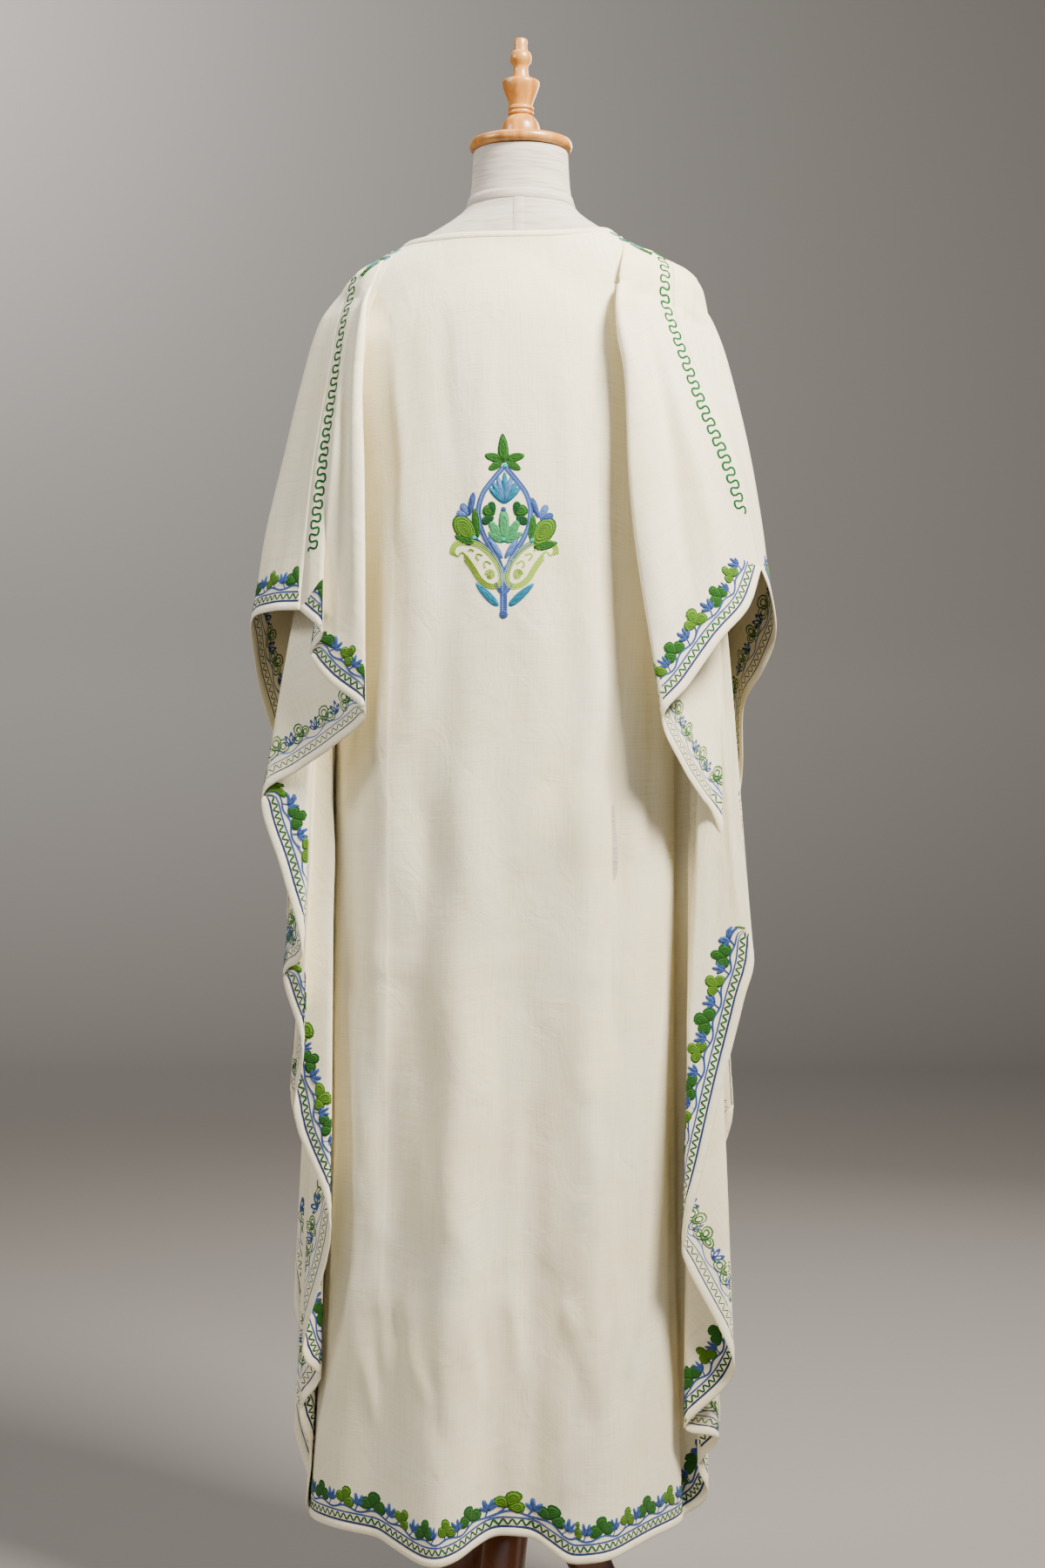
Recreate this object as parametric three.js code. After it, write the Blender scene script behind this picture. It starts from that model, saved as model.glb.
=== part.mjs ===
// A kaftan on a limbless dress form with a wooden tripod stand.
// Millimetres, +Z up. The garment's back faces -Y, its front faces +Y.
// All tables are measured from the form's upright axis; the last lines move that axis
// so that the origin is the centre of the part's footprint on the floor.
import * as THREE from 'three';
import { mergeVertices } from 'three/addons/utils/BufferGeometryUtils.js';

// ---- driving sizes ---------------------------------------------------------------
const FORM_AXIS = { x: 8, y: 31 };          // the form's axis seen from the origin
const GAP = 0.3;                            // between pieces that touch
const CLOTH = 1.6;                          // thickness of a cloth wall
const NECK_HALF = 133;                      // cloth from the centre line to the neck corner
const SEAM_AT = 290;                        // cloth from the centre line to the side seam
const SHOULDER_FROM = 195;                  // cloth where the shoulder line starts to fall
const SEAM_HALF_GAP = CLOTH / 2 + GAP / 2;  // wall's middle to the joining plane
const YOKE_Z = 1450;
const ARM_Z = 1380;
const CHEST_Z = 1280;
const UNDERARM_Z = 1190;
const ROWS = 20;                            // rows of faces from shoulder to hem
const ROW_CROWDING = 2.1;                   // rows lie closer together at the shoulder
const SIDE = { left: -1, right: 1 };
const FACE = { back: -1, front: 1 };

// ---- small tools -----------------------------------------------------------------
const lerp = (a, b, t) => a + (b - a) * t;
const clamp01 = (t) => Math.min(1, Math.max(0, t));
const ease = (t) => { const c = clamp01(t); return c * c * (3 - 2 * c); };

// Turns rows of numbers under a line of column names into named records.
function table(columns, rows) {
  const names = columns.split(' ');
  return rows.map((row) => Object.fromEntries(names.map((name, i) => [name, row[i]])));
}

// A smooth curve through [place, value] knots that never swings past them.
function through(knots, place) {
  const sorted = [...knots].sort((a, b) => a[0] - b[0]);
  const last = sorted.length - 1;
  if (place <= sorted[0][0]) return sorted[0][1];
  if (place >= sorted[last][0]) return sorted[last][1];
  const rise = (i) => (sorted[i + 1][1] - sorted[i][1]) / (sorted[i + 1][0] - sorted[i][0]);
  const slope = (i) => {
    if (i === 0) return rise(0);
    if (i === last) return rise(last - 1);
    const before = rise(i - 1);
    const after = rise(i);
    return before * after <= 0 ? 0 : 2 * before * after / (before + after);
  };
  const i = sorted.findIndex((knot, n) => n < last && place <= sorted[n + 1][0]);
  const span = sorted[i + 1][0] - sorted[i][0];
  const t = (place - sorted[i][0]) / span;
  const t2 = t * t;
  const t3 = t2 * t;
  return (2 * t3 - 3 * t2 + 1) * sorted[i][1] + (t3 - 2 * t2 + t) * span * slope(i)
    + (3 * t2 - 2 * t3) * sorted[i + 1][1] + (t3 - t2) * span * slope(i + 1);
}
const column = (rows, place, value, at) => through(rows.map((r) => [r[place], r[value]]), at);

function solid(name, geometry, colour, roughness) {
  const bare = geometry.clone();
  bare.deleteAttribute('normal');
  bare.deleteAttribute('uv');
  const mesh = new THREE.Mesh(mergeVertices(bare, 1e-4),
    new THREE.MeshStandardMaterial({ color: colour, roughness, metalness: 0 }));
  mesh.name = name;
  return mesh;
}

function fromTriangles(points, triangles) {
  const geometry = new THREE.BufferGeometry();
  geometry.setAttribute('position', new THREE.Float32BufferAttribute(points.flat(), 3));
  geometry.setIndex(triangles.flat());
  return geometry;
}

// Joins rings of equal count, listed from bottom to top and anticlockwise seen from above.
function loft(rings) {
  const count = rings[0].length;
  const points = rings.flat();
  const triangles = [];
  for (let r = 0; r + 1 < rings.length; r += 1) {
    for (let i = 0; i < count; i += 1) {
      const a = r * count + i;
      const b = r * count + (i + 1) % count;
      triangles.push([a, b, b + count], [a, b + count, a + count]);
    }
  }
  const middle = (ring) => [0, 1, 2].map((k) => ring.reduce((sum, p) => sum + p[k], 0) / count);
  const top = (rings.length - 1) * count;
  const low = points.push(middle(rings[0])) - 1;
  const high = points.push(middle(rings[rings.length - 1])) - 1;
  for (let i = 0; i < count; i += 1) {
    const next = (i + 1) % count;
    triangles.push([low, next, i], [high, top + i, top + next]);
  }
  return fromTriangles(points, triangles);
}

// A turned piece: rows of radius and height from the bottom to the top.
function turned(rows, segments) {
  const profile = [[0, rows[0][1]], ...rows, [0, rows[rows.length - 1][1]]];
  const lathe = new THREE.LatheGeometry(profile.map(([r, z]) => new THREE.Vector2(r, z)), segments);
  return lathe.rotateX(Math.PI / 2);
}

// ---- dress form ------------------------------------------------------------------
const LINEN = 0xcdc4ba;
const OAK = 0xc68a3c;
const STAND_WOOD = 0x6a3a16;
const IVORY = 0xece6d2;

// Level rings of the form: half width, depth to the back and depth to the front.
const FORM = table('z half back front', [
  [770, 151, 104, 92], [820, 156, 109, 96], [900, 160, 114, 98], [960, 156, 110, 97],
  [1040, 142, 97, 93], [1130, 124, 84, 88], [1220, 150, 92, 110], [1280, 164, 97, 122],
  [1340, 180, 98, 112], [1400, 194, 95, 92], [1455, 197, 88, 72], [1480, 193, 83, 64],
  [1498, 184, 79, 60], [1510, 170, 76, 58], [1522, 150, 73, 57], [1532, 130, 71, 56],
  [1548, 102, 67, 56], [1562, 78, 63, 56], [1578, 60, 58, 55], [1600, 54.5, 54.5, 54.5],
  [1640.7, 52, 52, 52],
]);
const SHOULDER_TIP_Z = 1480;
const FORM_SIDES = 24;
function formRing(row) {
  return Array.from({ length: FORM_SIDES }, (unused, i) => {
    const turn = 2 * Math.PI * i / FORM_SIDES;
    const depth = Math.sin(turn) > 0 ? row.front : row.back;
    return [row.half * Math.cos(turn), depth * Math.sin(turn), row.z];
  });
}
// A size of the form at a height, straight between its rings.
function formSize(z, size) {
  const i = Math.min(Math.max(FORM.findIndex((row) => row.z >= z), 1), FORM.length - 1);
  const [low, high] = [FORM[i - 1], FORM[i]];
  return lerp(low[size], high[size], (z - low.z) / (high.z - low.z));
}
// Height of the form's shoulder ridge at a distance from the axis.
function ridgeZ(x) {
  const i = FORM.findIndex((row) => row.z > SHOULDER_TIP_Z && row.half <= Math.abs(x));
  const [low, high] = [FORM[i - 1], FORM[i]];
  return lerp(low.z, high.z, (Math.abs(x) - low.half) / (high.half - low.half));
}

const CAP_RADIUS = 57;
const FINIAL_PROFILE = [
  [20, 1655.3], [21, 1661], [21, 1668], [16, 1679], [12.5, 1681], [14.5, 1684], [12.6, 1686.5],
  [14.5, 1689], [13, 1692], [17, 1703], [21, 1716], [19, 1720], [10.5, 1722], [8, 1735],
  [11.5, 1740], [12.2, 1745], [9.5, 1751], [7.6, 1753], [7.6, 1764], [5, 1766.5],
];
const CAP_PROFILE = [
  [50, 1641], [55, 1642.5], [CAP_RADIUS, 1646], [CAP_RADIUS, 1650], [54, 1653.5], [46, 1655],
];

// ---- stand -----------------------------------------------------------------------
const COLUMN_RADIUS = 21;
const HUB = { low: 132, high: 260, radius: 31 };
const LEG_COUNT = 3;
const LEG_TURN = THREE.MathUtils.degToRad(-106);   // the first leg points behind the garment
// The leg's middle line from the hub to the floor, with its height across the grain.
const LEG = table('reach z tall', [
  [HUB.radius + GAP, 165, 56], [49, 147, 54], [65, 112, 50], [83, 71, 44], [104, 42, 36],
  [130, 28, 31], [166, 21, 29], [202, 16, 26], [231, 12, 19], [258, 0, 42],
]);
const LEG_WIDTH = 42;
const LEG_EDGE = 6;

function legGeometry(turn) {
  const out = [Math.cos(turn), Math.sin(turn)];
  const rings = LEG.map((row, i) => {
    const before = LEG[Math.max(i - 1, 0)];
    const after = LEG[Math.min(i + 1, LEG.length - 1)];
    // The first section stands upright on the hub and the last lies flat on the floor.
    let lean = Math.atan2(after.z - before.z, after.reach - before.reach) + Math.PI / 2;
    if (i === 0) lean = Math.PI / 2;
    if (i === LEG.length - 1) lean = 0;
    const high = row.tall / 2;
    const wide = LEG_WIDTH / 2;
    const corners = [
      [-high + LEG_EDGE, -wide], [high - LEG_EDGE, -wide], [high, -wide + LEG_EDGE],
      [high, wide - LEG_EDGE], [high - LEG_EDGE, wide], [-high + LEG_EDGE, wide],
      [-high, wide - LEG_EDGE], [-high, -wide + LEG_EDGE],
    ];
    return corners.map(([along, side]) => {
      const reach = row.reach + along * Math.cos(lean);
      return [reach * out[0] - side * out[1], reach * out[1] + side * out[0],
        row.z + along * Math.sin(lean)];
    });
  });
  return loft(rings.reverse());
}

// ---- kaftan ----------------------------------------------------------------------
// Level rings of the body of the garment, from side seam to side seam.
const BODY = table('z middle half back front', [
  [1535, -17, 150, 78, 70], [1450, -13, 192, 106, 90], [1380, -11, 199, 114, 112],
  [1280, -9, 192, 119, 136], [1190, -11, 190, 121, 140], [900, -18, 188, 123, 138],
  [500, -21, 192, 128, 140], [128, -27, 206, 134, 146],
]);

// Soft folds of the skirt: cloth from the centre line, width, and reach to the back (-) or front.
const SKIRT_FOLDS = {
  back: table('across width reach', [[-190, 44, 6], [-128, 22, 10], [-58, 30, -20], [14, 30, 46],
    [104, 40, -15], [160, 20, 8], [210, 36, 9]]),
  front: table('across width reach', [[-150, 40, 12], [-60, 44, -26], [40, 44, 14],
    [125, 40, -20], [205, 34, 8]]),
};
const SKIRT_FOLD_TOP = 980;                 // the folds fade in from here to the hem
const HEM_Z = 128;

// Height of the hem along the cloth.
const HEM = {
  back: table('across z', [[-290, 142], [-160, 144], [-114, 141], [-82, 128], [-54, 126],
    [-26, 135], [-6, 147], [24, 149], [48, 139], [74, 125], [112, 126], [165, 133], [290, 138]]),
  front: table('across z', [[-290, 138], [-120, 130], [0, 128], [120, 131], [290, 138]]),
};

// The neck corners on the shoulder, and the middle of each neckline.
const NECK_CORNER = { left: -128, right: 97 };
const SHOULDER_BEND = { left: -183, right: 150 };
const RIDGE_Y = -8;
const RIDGE_LIFT = 2;
const NECK_PULL = 120;                      // the body lines leave the neckline over this drop
const FORM_CLEARANCE = 9;
const SEAT_CLEARANCE = CLOTH / 2 + 0.65;    // the wall's middle from the form
const SETTLE_PASSES = 8;
const SETTLE_ABOVE = 1380;
const SHOULDER_CLEARANCE = 8;               // reached this far below the ridge:
const LIFT_WITHIN = 40;
const LAYER_STEP = 4;                       // each further pleat stands this much further out
const WING_CLEARANCE = 4;                   // between a wing and the body it hangs beside
const NECKLINE = { back: { x: -17, y: -76, z: 1537 }, front: { x: -17, y: 82, z: 1480 } };

// Lines of the sleeve pleats where they pass three heights. The shoulder line joins both panels.
const GUIDES = {
  left: {
    shoulder: { yoke: [-197, -42], arm: [-207, -64], chest: [-222, -84] },
    back: {
      seam: { yoke: [-164, -66], arm: [-176, -48], chest: [-189, -14] },
      outer: { yoke: [-178, -58], arm: [-198, -44], chest: [-217, -40] },
      inner: { yoke: [-168, -84], arm: [-171, -100], chest: [-167, -118] },
    },
    front: {
      seam: { yoke: [-178, 40], arm: [-186, 42], chest: [-190, 14] },
      outer: { yoke: [-190, 36], arm: [-202, 36], chest: [-216, 34] },
      inner: { yoke: [-188, 52], arm: [-196, 74], chest: [-205, 88] },
    },
  },
  right: {
    shoulder: { yoke: [168, -62], arm: [192, -80], chest: [233, -90] },
    back: {
      seam: { yoke: [104, -91], arm: [148, -76], chest: [179, -16] },
      outer: { yoke: [120, -90], arm: [164, -72], chest: [206, -44] },
      inner: { yoke: [104, -108], arm: [112, -122], chest: [115, -130] },
    },
    front: {
      seam: { yoke: [172, 42], arm: [180, 44], chest: [181, 14] },
      outer: { yoke: [182, 38], arm: [194, 38], chest: [206, 34] },
      inner: { yoke: [180, 54], arm: [186, 76], chest: [196, 90] },
    },
  },
};

// The free edge of each wing, from the side seam's hem up to the shoulder line. A row is one
// fold: the guide line it follows above the chest (0 seam, 1 outer, 2 inner, 3 shoulder) and
// where the edge lies there.
const EDGE_COLUMNS = 'guide x y z';
const EDGES = {
  left: {
    back: table(EDGE_COLUMNS, [
      [0.06, -224, -9, 150], [0.12, -214, -16, 172],
      [0.18, -228, -24, 215], [0.26, -241, -34, 262],
      [0.34, -217, -44, 300], [0.42, -236, -57, 332],
      [0.5, -203, -88, 472], [0.6, -243, -66, 585],
      [0.68, -233, -84, 662], [0.76, -256, -62, 738],
      [0.84, -233, -86, 762], [0.92, -256, -74, 850],
      [1, -279, -62, 930], [1.35, -240, -78, 958],
      [1.7, -200, -104, 984], [2, -163, -132, 1018],
      [2.4, -204, -112, 1054], [2.6, -224, -96, 1082],
      [2.75, -209, -119, 1104], [3, -235, -98, 1130],
    ]),
    front: table(EDGE_COLUMNS, [
      [0.08, -236, 7, 150], [0.16, -226, 14, 170],
      [0.24, -246, 20, 206], [0.34, -252, 26, 236],
      [0.44, -236, 36, 290], [0.54, -254, 46, 372],
      [0.64, -230, 58, 480], [0.74, -258, 46, 600],
      [0.82, -234, 58, 702], [0.91, -262, 42, 800],
      [1, -240, 22, 900], [1.5, -244, 42, 930],
      [2, -264, 34, 966], [2.3, -286, 6, 1040],
      [2.46, -292, -16, 1082],
      [2.62, -293, -38, 1122], [2.84, -268, -76, 1130],
      [3, -235, -98, 1130],
    ]),
  },
  right: {
    back: table(EDGE_COLUMNS, [
      [0.06, 196, -8, 150], [0.12, 206, -15, 168],
      [0.18, 194, -24, 200], [0.27, 216, -36, 232],
      [0.36, 177, -50, 246], [0.45, 226, -60, 300],
      [0.52, 225, -74, 336], [0.6, 178, -80, 428],
      [0.68, 174, -98, 458], [0.75, 193, -96, 530],
      [0.82, 215, -88, 622], [0.9, 238, -84, 712],
      [0.95, 249, -78, 768], [1, 211, -64, 903],
      [1.4, 192, -84, 932], [1.75, 172, -108, 962],
      [2, 149, -136, 1013], [2.3, 176, -131, 1048],
      [2.6, 212, -120, 1098], [2.8, 242, -104, 1132],
      [3, 257, -86, 1175],
    ]),
    front: table(EDGE_COLUMNS, [
      [0.08, 192, 7, 150], [0.16, 204, 14, 168],
      [0.24, 196, 20, 204], [0.34, 222, 27, 236],
      [0.44, 204, 36, 290], [0.54, 232, 46, 366],
      [0.64, 206, 58, 466], [0.74, 238, 46, 580],
      [0.82, 210, 58, 684], [0.91, 244, 44, 780],
      [1, 216, 26, 880], [1.5, 240, 34, 922],
      [2, 247, 30, 958], [2.3, 246, 2, 1030],
      [2.46, 264, -22, 1066],
      [2.62, 277, -40, 1104], [2.84, 270, -68, 1146],
      [3, 257, -86, 1175],
    ]),
  },
};
const FRONT_BULGE = { left: { yoke: [-222, -4], arm: [-241, -8], chest: [-262, -16] },
  right: { yoke: [212, -8], arm: [234, -12], chest: [255, -20] } };
const BULGE_GUIDE = 2.62;
const WRAPS_FROM = 2.4;                     // lines past this one wrap over the shoulder tip
const BODY_ACROSS = [0, 18, 36, 54, 72, 100, 118, 128, NECK_HALF, 175, 225, 262];

// A point of the body's level ring: face is -1 at the back and 1 at the front.
function ring(across, z, face) {
  const turn = Math.min(Math.abs(across) / SEAM_AT, 1) * Math.PI / 2;
  const half = column(BODY, 'z', 'half', z);
  const depth = column(BODY, 'z', face < 0 ? 'back' : 'front', z);
  const x = column(BODY, 'z', 'middle', z) + Math.sign(across) * half * Math.sin(turn);
  const y = face * Math.max(depth * Math.cos(turn), SEAM_HALF_GAP);
  return [x, y];
}

// Where a line that follows a guide passes the yoke, arm and chest heights.
function station(side, panel, guide, level) {
  const lines = GUIDES[side];
  const stops = [lines[panel].seam, lines[panel].outer, lines[panel].inner, lines.shoulder];
  if (panel === 'front' && guide > 2) {
    const bulge = FRONT_BULGE[side][level];
    const [from, to, t] = guide < BULGE_GUIDE
      ? [stops[2][level], bulge, (guide - 2) / (BULGE_GUIDE - 2)]
      : [bulge, stops[3][level], (guide - BULGE_GUIDE) / (3 - BULGE_GUIDE)];
    return [lerp(from[0], to[0], t), lerp(from[1], to[1], t)];
  }
  const low = Math.min(Math.floor(guide), 2);
  return [0, 1].map((k) => lerp(stops[low][level][k], stops[low + 1][level][k], guide - low));
}

// The top of a line on the shoulder ridge.
function ridgePoint(side, across) {
  const t = (across - NECK_HALF) / (SHOULDER_FROM - NECK_HALF);
  const x = lerp(NECK_CORNER[side], SHOULDER_BEND[side], t);
  return [x, RIDGE_Y, ridgeZ(x) + RIDGE_LIFT];
}
const ROOTS = { back: [[0, 137], [1, 147], [2, 154], [3, SHOULDER_FROM]],
  front: [[0, 137], [1, 147], [2, 154], [2.3, 175], [2.46, 191], [3, SHOULDER_FROM]] };
const SEAM_ROOT = 137;
// The joint between the panels opens a little where it turns over the shoulder tip.
const TURN_ROWS = 6;
const TURN_LINES = 4;
const TURN_GAP = 1.5;

// One line of a wing from the shoulder to the free edge, as a function of height.
function wingLine(side, panel, row) {
  const root = ridgePoint(side, through(ROOTS[panel], row.guide));
  const levels = [['yoke', YOKE_Z], ['arm', ARM_Z], ['chest', CHEST_Z]];
  const stops = levels.map(([level, z]) => [z, ...station(side, panel, row.guide, level)]);
  const knots = [[root[2], root[0], root[1]], ...stops, [row.z, row.x, row.y]];
  const wrapsOver = row.guide > WRAPS_FROM;
  return { onRidge: true, wrapsOver, guide: row.guide, top: root[2], low: row.z,
    at: (z) => [1, 2].map((k) => through(knots.map((knot) => [knot[0], knot[k]]), z)) };
}

// The side seam: two free layers down to the underarm, then joined down to the hem.
function seamLine(side, panel) {
  const face = FACE[panel];
  const root = ridgePoint(side, SEAM_ROOT);
  const lines = GUIDES[side][panel].seam;
  const under = ring(SIDE[side] * SEAM_AT, UNDERARM_Z, face);
  const knots = [[root[2], root[0], root[1]], [YOKE_Z, ...lines.yoke], [ARM_Z, ...lines.arm],
    [CHEST_Z, ...lines.chest], [UNDERARM_Z, ...under]];
  return { onRidge: true, top: root[2],
    low: column(HEM[panel], 'across', 'z', SIDE[side] * SEAM_AT),
    at: (z) => (z < UNDERARM_Z ? ring(SIDE[side] * SEAM_AT, z, face)
      : [1, 2].map((k) => through(knots.map((knot) => [knot[0], knot[k]]), z))) };
}

// A line of the body, from the neckline or shoulder to the hem.
function bodyLine(side, panel, across) {
  const face = FACE[panel];
  const sign = SIDE[side];
  const seam = seamLine(side, panel);
  const neck = NECKLINE[panel];
  const corner = ridgePoint(side, NECK_HALF);
  const s = Math.min(across / NECK_HALF, 1);
  const bow = Math.sqrt(1 - s * s);
  const top = across < NECK_HALF
    ? [lerp(neck.x, corner[0], s), lerp(corner[1], neck.y, bow),
      lerp(corner[2], neck.z, panel === 'back' ? 1 - s ** 3 : 1 - s * s)]
    : ridgePoint(side, lerp(NECK_HALF, SEAM_ROOT, (across - NECK_HALF) / (SEAM_AT - NECK_HALF)));
  const drawn = clamp01((across - NECK_HALF) / (SEAM_AT - NECK_HALF));
  const plain = (z) => {
    const [x, y] = ring(sign * across, z, face);
    const [seamX, seamY] = seam.at(Math.min(z, seam.top));
    const [ringX, ringY] = ring(sign * SEAM_AT, z, face);
    const fade = ease((SKIRT_FOLD_TOP - z) / (SKIRT_FOLD_TOP - HEM_Z));
    const folds = SKIRT_FOLDS[panel].reduce((sum, fold) => sum + fold.reach
      * Math.exp(-(((sign * across - fold.across) / fold.width) ** 2)), 0);
    return [x + (seamX - ringX) * drawn ** 2, y + (seamY - ringY) * drawn ** 2 + folds * fade];
  };
  const start = plain(top[2]);
  const low = column(HEM[panel], 'across', 'z', sign * across);
  return { onRidge: across >= NECK_HALF, top: top[2], low, at: (z) => {
    const pull = 1 - ease((top[2] - z) / NECK_PULL);
    const [x, y] = plain(z);
    return [x + (top[0] - start[0]) * pull, y + (top[1] - start[1]) * pull];
  } };
}

// All lines of a panel from its left edge to its right edge.
function panelLines(panel) {
  const half = (side) => {
    const body = BODY_ACROSS.slice(1).map((across) => bodyLine(side, panel, across));
    const wing = EDGES[side][panel].map((row) => wingLine(side, panel, row));
    return [...body, seamLine(side, panel), ...wing];
  };
  return [...half('left').reverse(), bodyLine('right', panel, 0), ...half('right')];
}

// How far outside of its level ring a place is, as a share of the ring's size.
const overForm = (x, y, z) => Math.hypot(x / formSize(z, 'half'),
  y / formSize(z, y < 0 ? 'back' : 'front')) - 1;
const overBody = (x, y, z) => Math.hypot((x - column(BODY, 'z', 'middle', z))
  / column(BODY, 'z', 'half', z), y / column(BODY, 'z', y < 0 ? 'back' : 'front', z)) - 1;

// How far a point lies outside the form or body, to first order, and the way out of it.
function fromForm(point, inside = overForm) {
  const { x, y, z } = point;
  const here = inside(x, y, z);
  const way = new THREE.Vector3(inside(x + 1, y, z) - inside(x - 1, y, z),
    inside(x, y + 1, z) - inside(x, y - 1, z), inside(x, y, z + 1) - inside(x, y, z - 1));
  const steepness = way.length() / 2;
  return { away: here / steepness, way: way.normalize() };
}

function clearOfForm(point, clearance, inside = overForm) {
  for (let turn = 0; turn < 4; turn += 1) {
    const { away, way } = fromForm(point, inside);
    if (away >= clearance) break;
    point.addScaledVector(way, clearance - away);
  }
  return point;
}

// On the shoulder a line keeps its place across and falls over the form's curve.
function overShoulder(point, face, clearance) {
  const across = Math.min(Math.abs(point.x) / formSize(point.z, 'half'), 1);
  const depth = formSize(point.z, face < 0 ? 'back' : 'front') * Math.sqrt(1 - across ** 2);
  const least = across < 1 ? depth + clearance : Math.abs(RIDGE_Y);
  if (point.y * face < least) point.y = face * least;
  return point;
}

function panelGrid(panel) {
  return panelLines(panel).map((line) => Array.from({ length: ROWS + 1 }, (unused, r) => {
    const t = (r / ROWS) ** ROW_CROWDING;
    const z = lerp(line.top, line.low, t);
    const point = new THREE.Vector3(...line.at(z), z);
    if (r === 0 && line.onRidge) return point;
    const lift = clamp01((line.top - z) / LIFT_WITHIN);
    if (line.wrapsOver) return clearOfForm(point, lerp(RIDGE_LIFT, SHOULDER_CLEARANCE, lift));
    const layer = lift * LAYER_STEP * (line.guide ?? 0);
    if (z > YOKE_Z) return overShoulder(point, FACE[panel], SHOULDER_CLEARANCE + layer);
    clearOfForm(point, FORM_CLEARANCE + layer);
    if (line.guide === undefined || z > UNDERARM_Z) return point;
    const drop = clamp01((UNDERARM_Z - z) / LIFT_WITHIN);
    return clearOfForm(point, drop * (WING_CLEARANCE + layer), overBody);
  }));
}

// Lifts neighbouring points until the straight cloth between them is clear of the form.
function settle(grid) {
  for (let pass = 0; pass < SETTLE_PASSES; pass += 1) {
    for (let c = 0; c < grid.length; c += 1) {
      for (let r = 0; r <= ROWS && grid[c][r].z > SETTLE_ABOVE; r += 1) {
        for (const [dc, dr] of [[1, 0], [0, 1], [1, 1], [1, -1]]) {
          const other = grid[c + dc]?.[r + dr];
          if (!other) continue;
          const { away, way } = fromForm(grid[c][r].clone().lerp(other, 0.5));
          if (away >= SEAT_CLEARANCE) continue;
          grid[c][r].addScaledVector(way, SEAT_CLEARANCE - away);
          other.addScaledVector(way, SEAT_CLEARANCE - away);
        }
      }
    }
  }
}

// Outward directions of a panel's wall.
function gridNormals(grid, face) {
  const normals = grid.map((points) => points.map(() => new THREE.Vector3()));
  for (let c = 0; c + 1 < grid.length; c += 1) {
    for (let r = 0; r < ROWS; r += 1) {
      const corners = [[c, r], [c + 1, r + 1], [c + 1, r], [c, r + 1]];
      const [first, last, right, below] = corners.map(([i, j]) => grid[i][j]);
      const way = new THREE.Vector3().crossVectors(last.clone().sub(first), below.clone().sub(right));
      way.multiplyScalar(face).normalize();
      for (const [i, j] of corners) normals[i][j].add(way);
    }
  }
  normals.flat().forEach((normal) => normal.normalize());
  return normals;
}

// Both panels share the shoulder line: one direction for the wall there, and a small gap.
function joinShoulders(back, front) {
  const offRidge = BODY_ACROSS.filter((across) => across > 0 && across < NECK_HALF).length;
  const bodyCount = BODY_ACROSS.length - 1 - offRidge;
  for (const side of ['left', 'right']) {
    for (const panel of [back, front]) {
      const wings = EDGES[side][panel.name].length + 1;
      const lines = Array.from({ length: wings + bodyCount }, (unused, i) =>
        (side === 'left' ? i : panel.grid.length - 1 - i));
      for (const line of lines.slice(1)) {
        const slope = Math.atan2(ridgeZ(NECK_CORNER[side]) - ridgeZ(SHOULDER_BEND[side]),
          Math.abs(SHOULDER_BEND[side] - NECK_CORNER[side]));
        panel.normals[line][0].set(SIDE[side] * Math.sin(slope), 0, Math.cos(slope));
      }
      panel.edge = panel.edge ?? {};
      panel.edge[side] = lines;
    }
    const edge = (panel) => (side === 'left' ? 0 : panel.grid.length - 1);
    for (let r = 0; r <= ROWS; r += 1) {
      const shared = back.normals[edge(back)][r].clone().add(front.normals[edge(front)][r]).normalize();
      back.normals[edge(back)][r].copy(shared);
      front.normals[edge(front)][r].copy(shared);
    }
  }
  for (const panel of [back, front]) {
    const moved = panel.grid.map((points) => points.map((p) => p.clone()));
    const step = (line, row, toLine, toRow) => {
      const way = new THREE.Vector3().subVectors(panel.grid[toLine][toRow], panel.grid[line][row]);
      moved[line][row].addScaledVector(way.normalize(), row < TURN_ROWS ? TURN_GAP : GAP);
    };
    for (const side of ['left', 'right']) {
      panel.edge[side].forEach((line, i) => {
        moved[line][0].y += FACE[panel.name] * (i < TURN_LINES ? TURN_GAP : GAP);
      });
      const last = panel.edge[side][0];
      for (let r = 1; r <= ROWS; r += 1) step(last, r, panel.edge[side][1], r);
    }
    panel.grid = moved;
  }
}

// A cloth wall with its middle on the grid.
function wallGeometry({ grid, normals, name }) {
  const lines = grid.length;
  const rows = ROWS + 1;
  const layer = (reach) => grid.flatMap((points, c) => points.map((p, r) =>
    p.clone().addScaledVector(normals[c][r], reach).toArray()));
  const points = [...layer(CLOTH / 2), ...layer(-CLOTH / 2)];
  const inner = lines * rows;
  const at = (c, r) => c * rows + r;
  const triangles = [];
  const quad = (a, b, c, d) => triangles.push([a, b, c], [a, c, d]);
  for (let c = 0; c + 1 < lines; c += 1) {
    for (let r = 0; r < ROWS; r += 1) {
      quad(at(c, r), at(c, r + 1), at(c + 1, r + 1), at(c + 1, r));
      quad(inner + at(c, r), inner + at(c + 1, r), inner + at(c + 1, r + 1), inner + at(c, r + 1));
    }
    quad(at(c, 0), at(c + 1, 0), inner + at(c + 1, 0), inner + at(c, 0));
    quad(at(c + 1, ROWS), at(c, ROWS), inner + at(c, ROWS), inner + at(c + 1, ROWS));
  }
  for (let r = 0; r < ROWS; r += 1) {
    quad(at(0, r + 1), at(0, r), inner + at(0, r), inner + at(0, r + 1));
    quad(at(lines - 1, r), at(lines - 1, r + 1), inner + at(lines - 1, r + 1), inner + at(lines - 1, r));
  }
  // The front panel is the same wall seen from the other side.
  if (name === 'front') triangles.forEach((t) => t.reverse());
  return fromTriangles(points, triangles);
}

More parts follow.
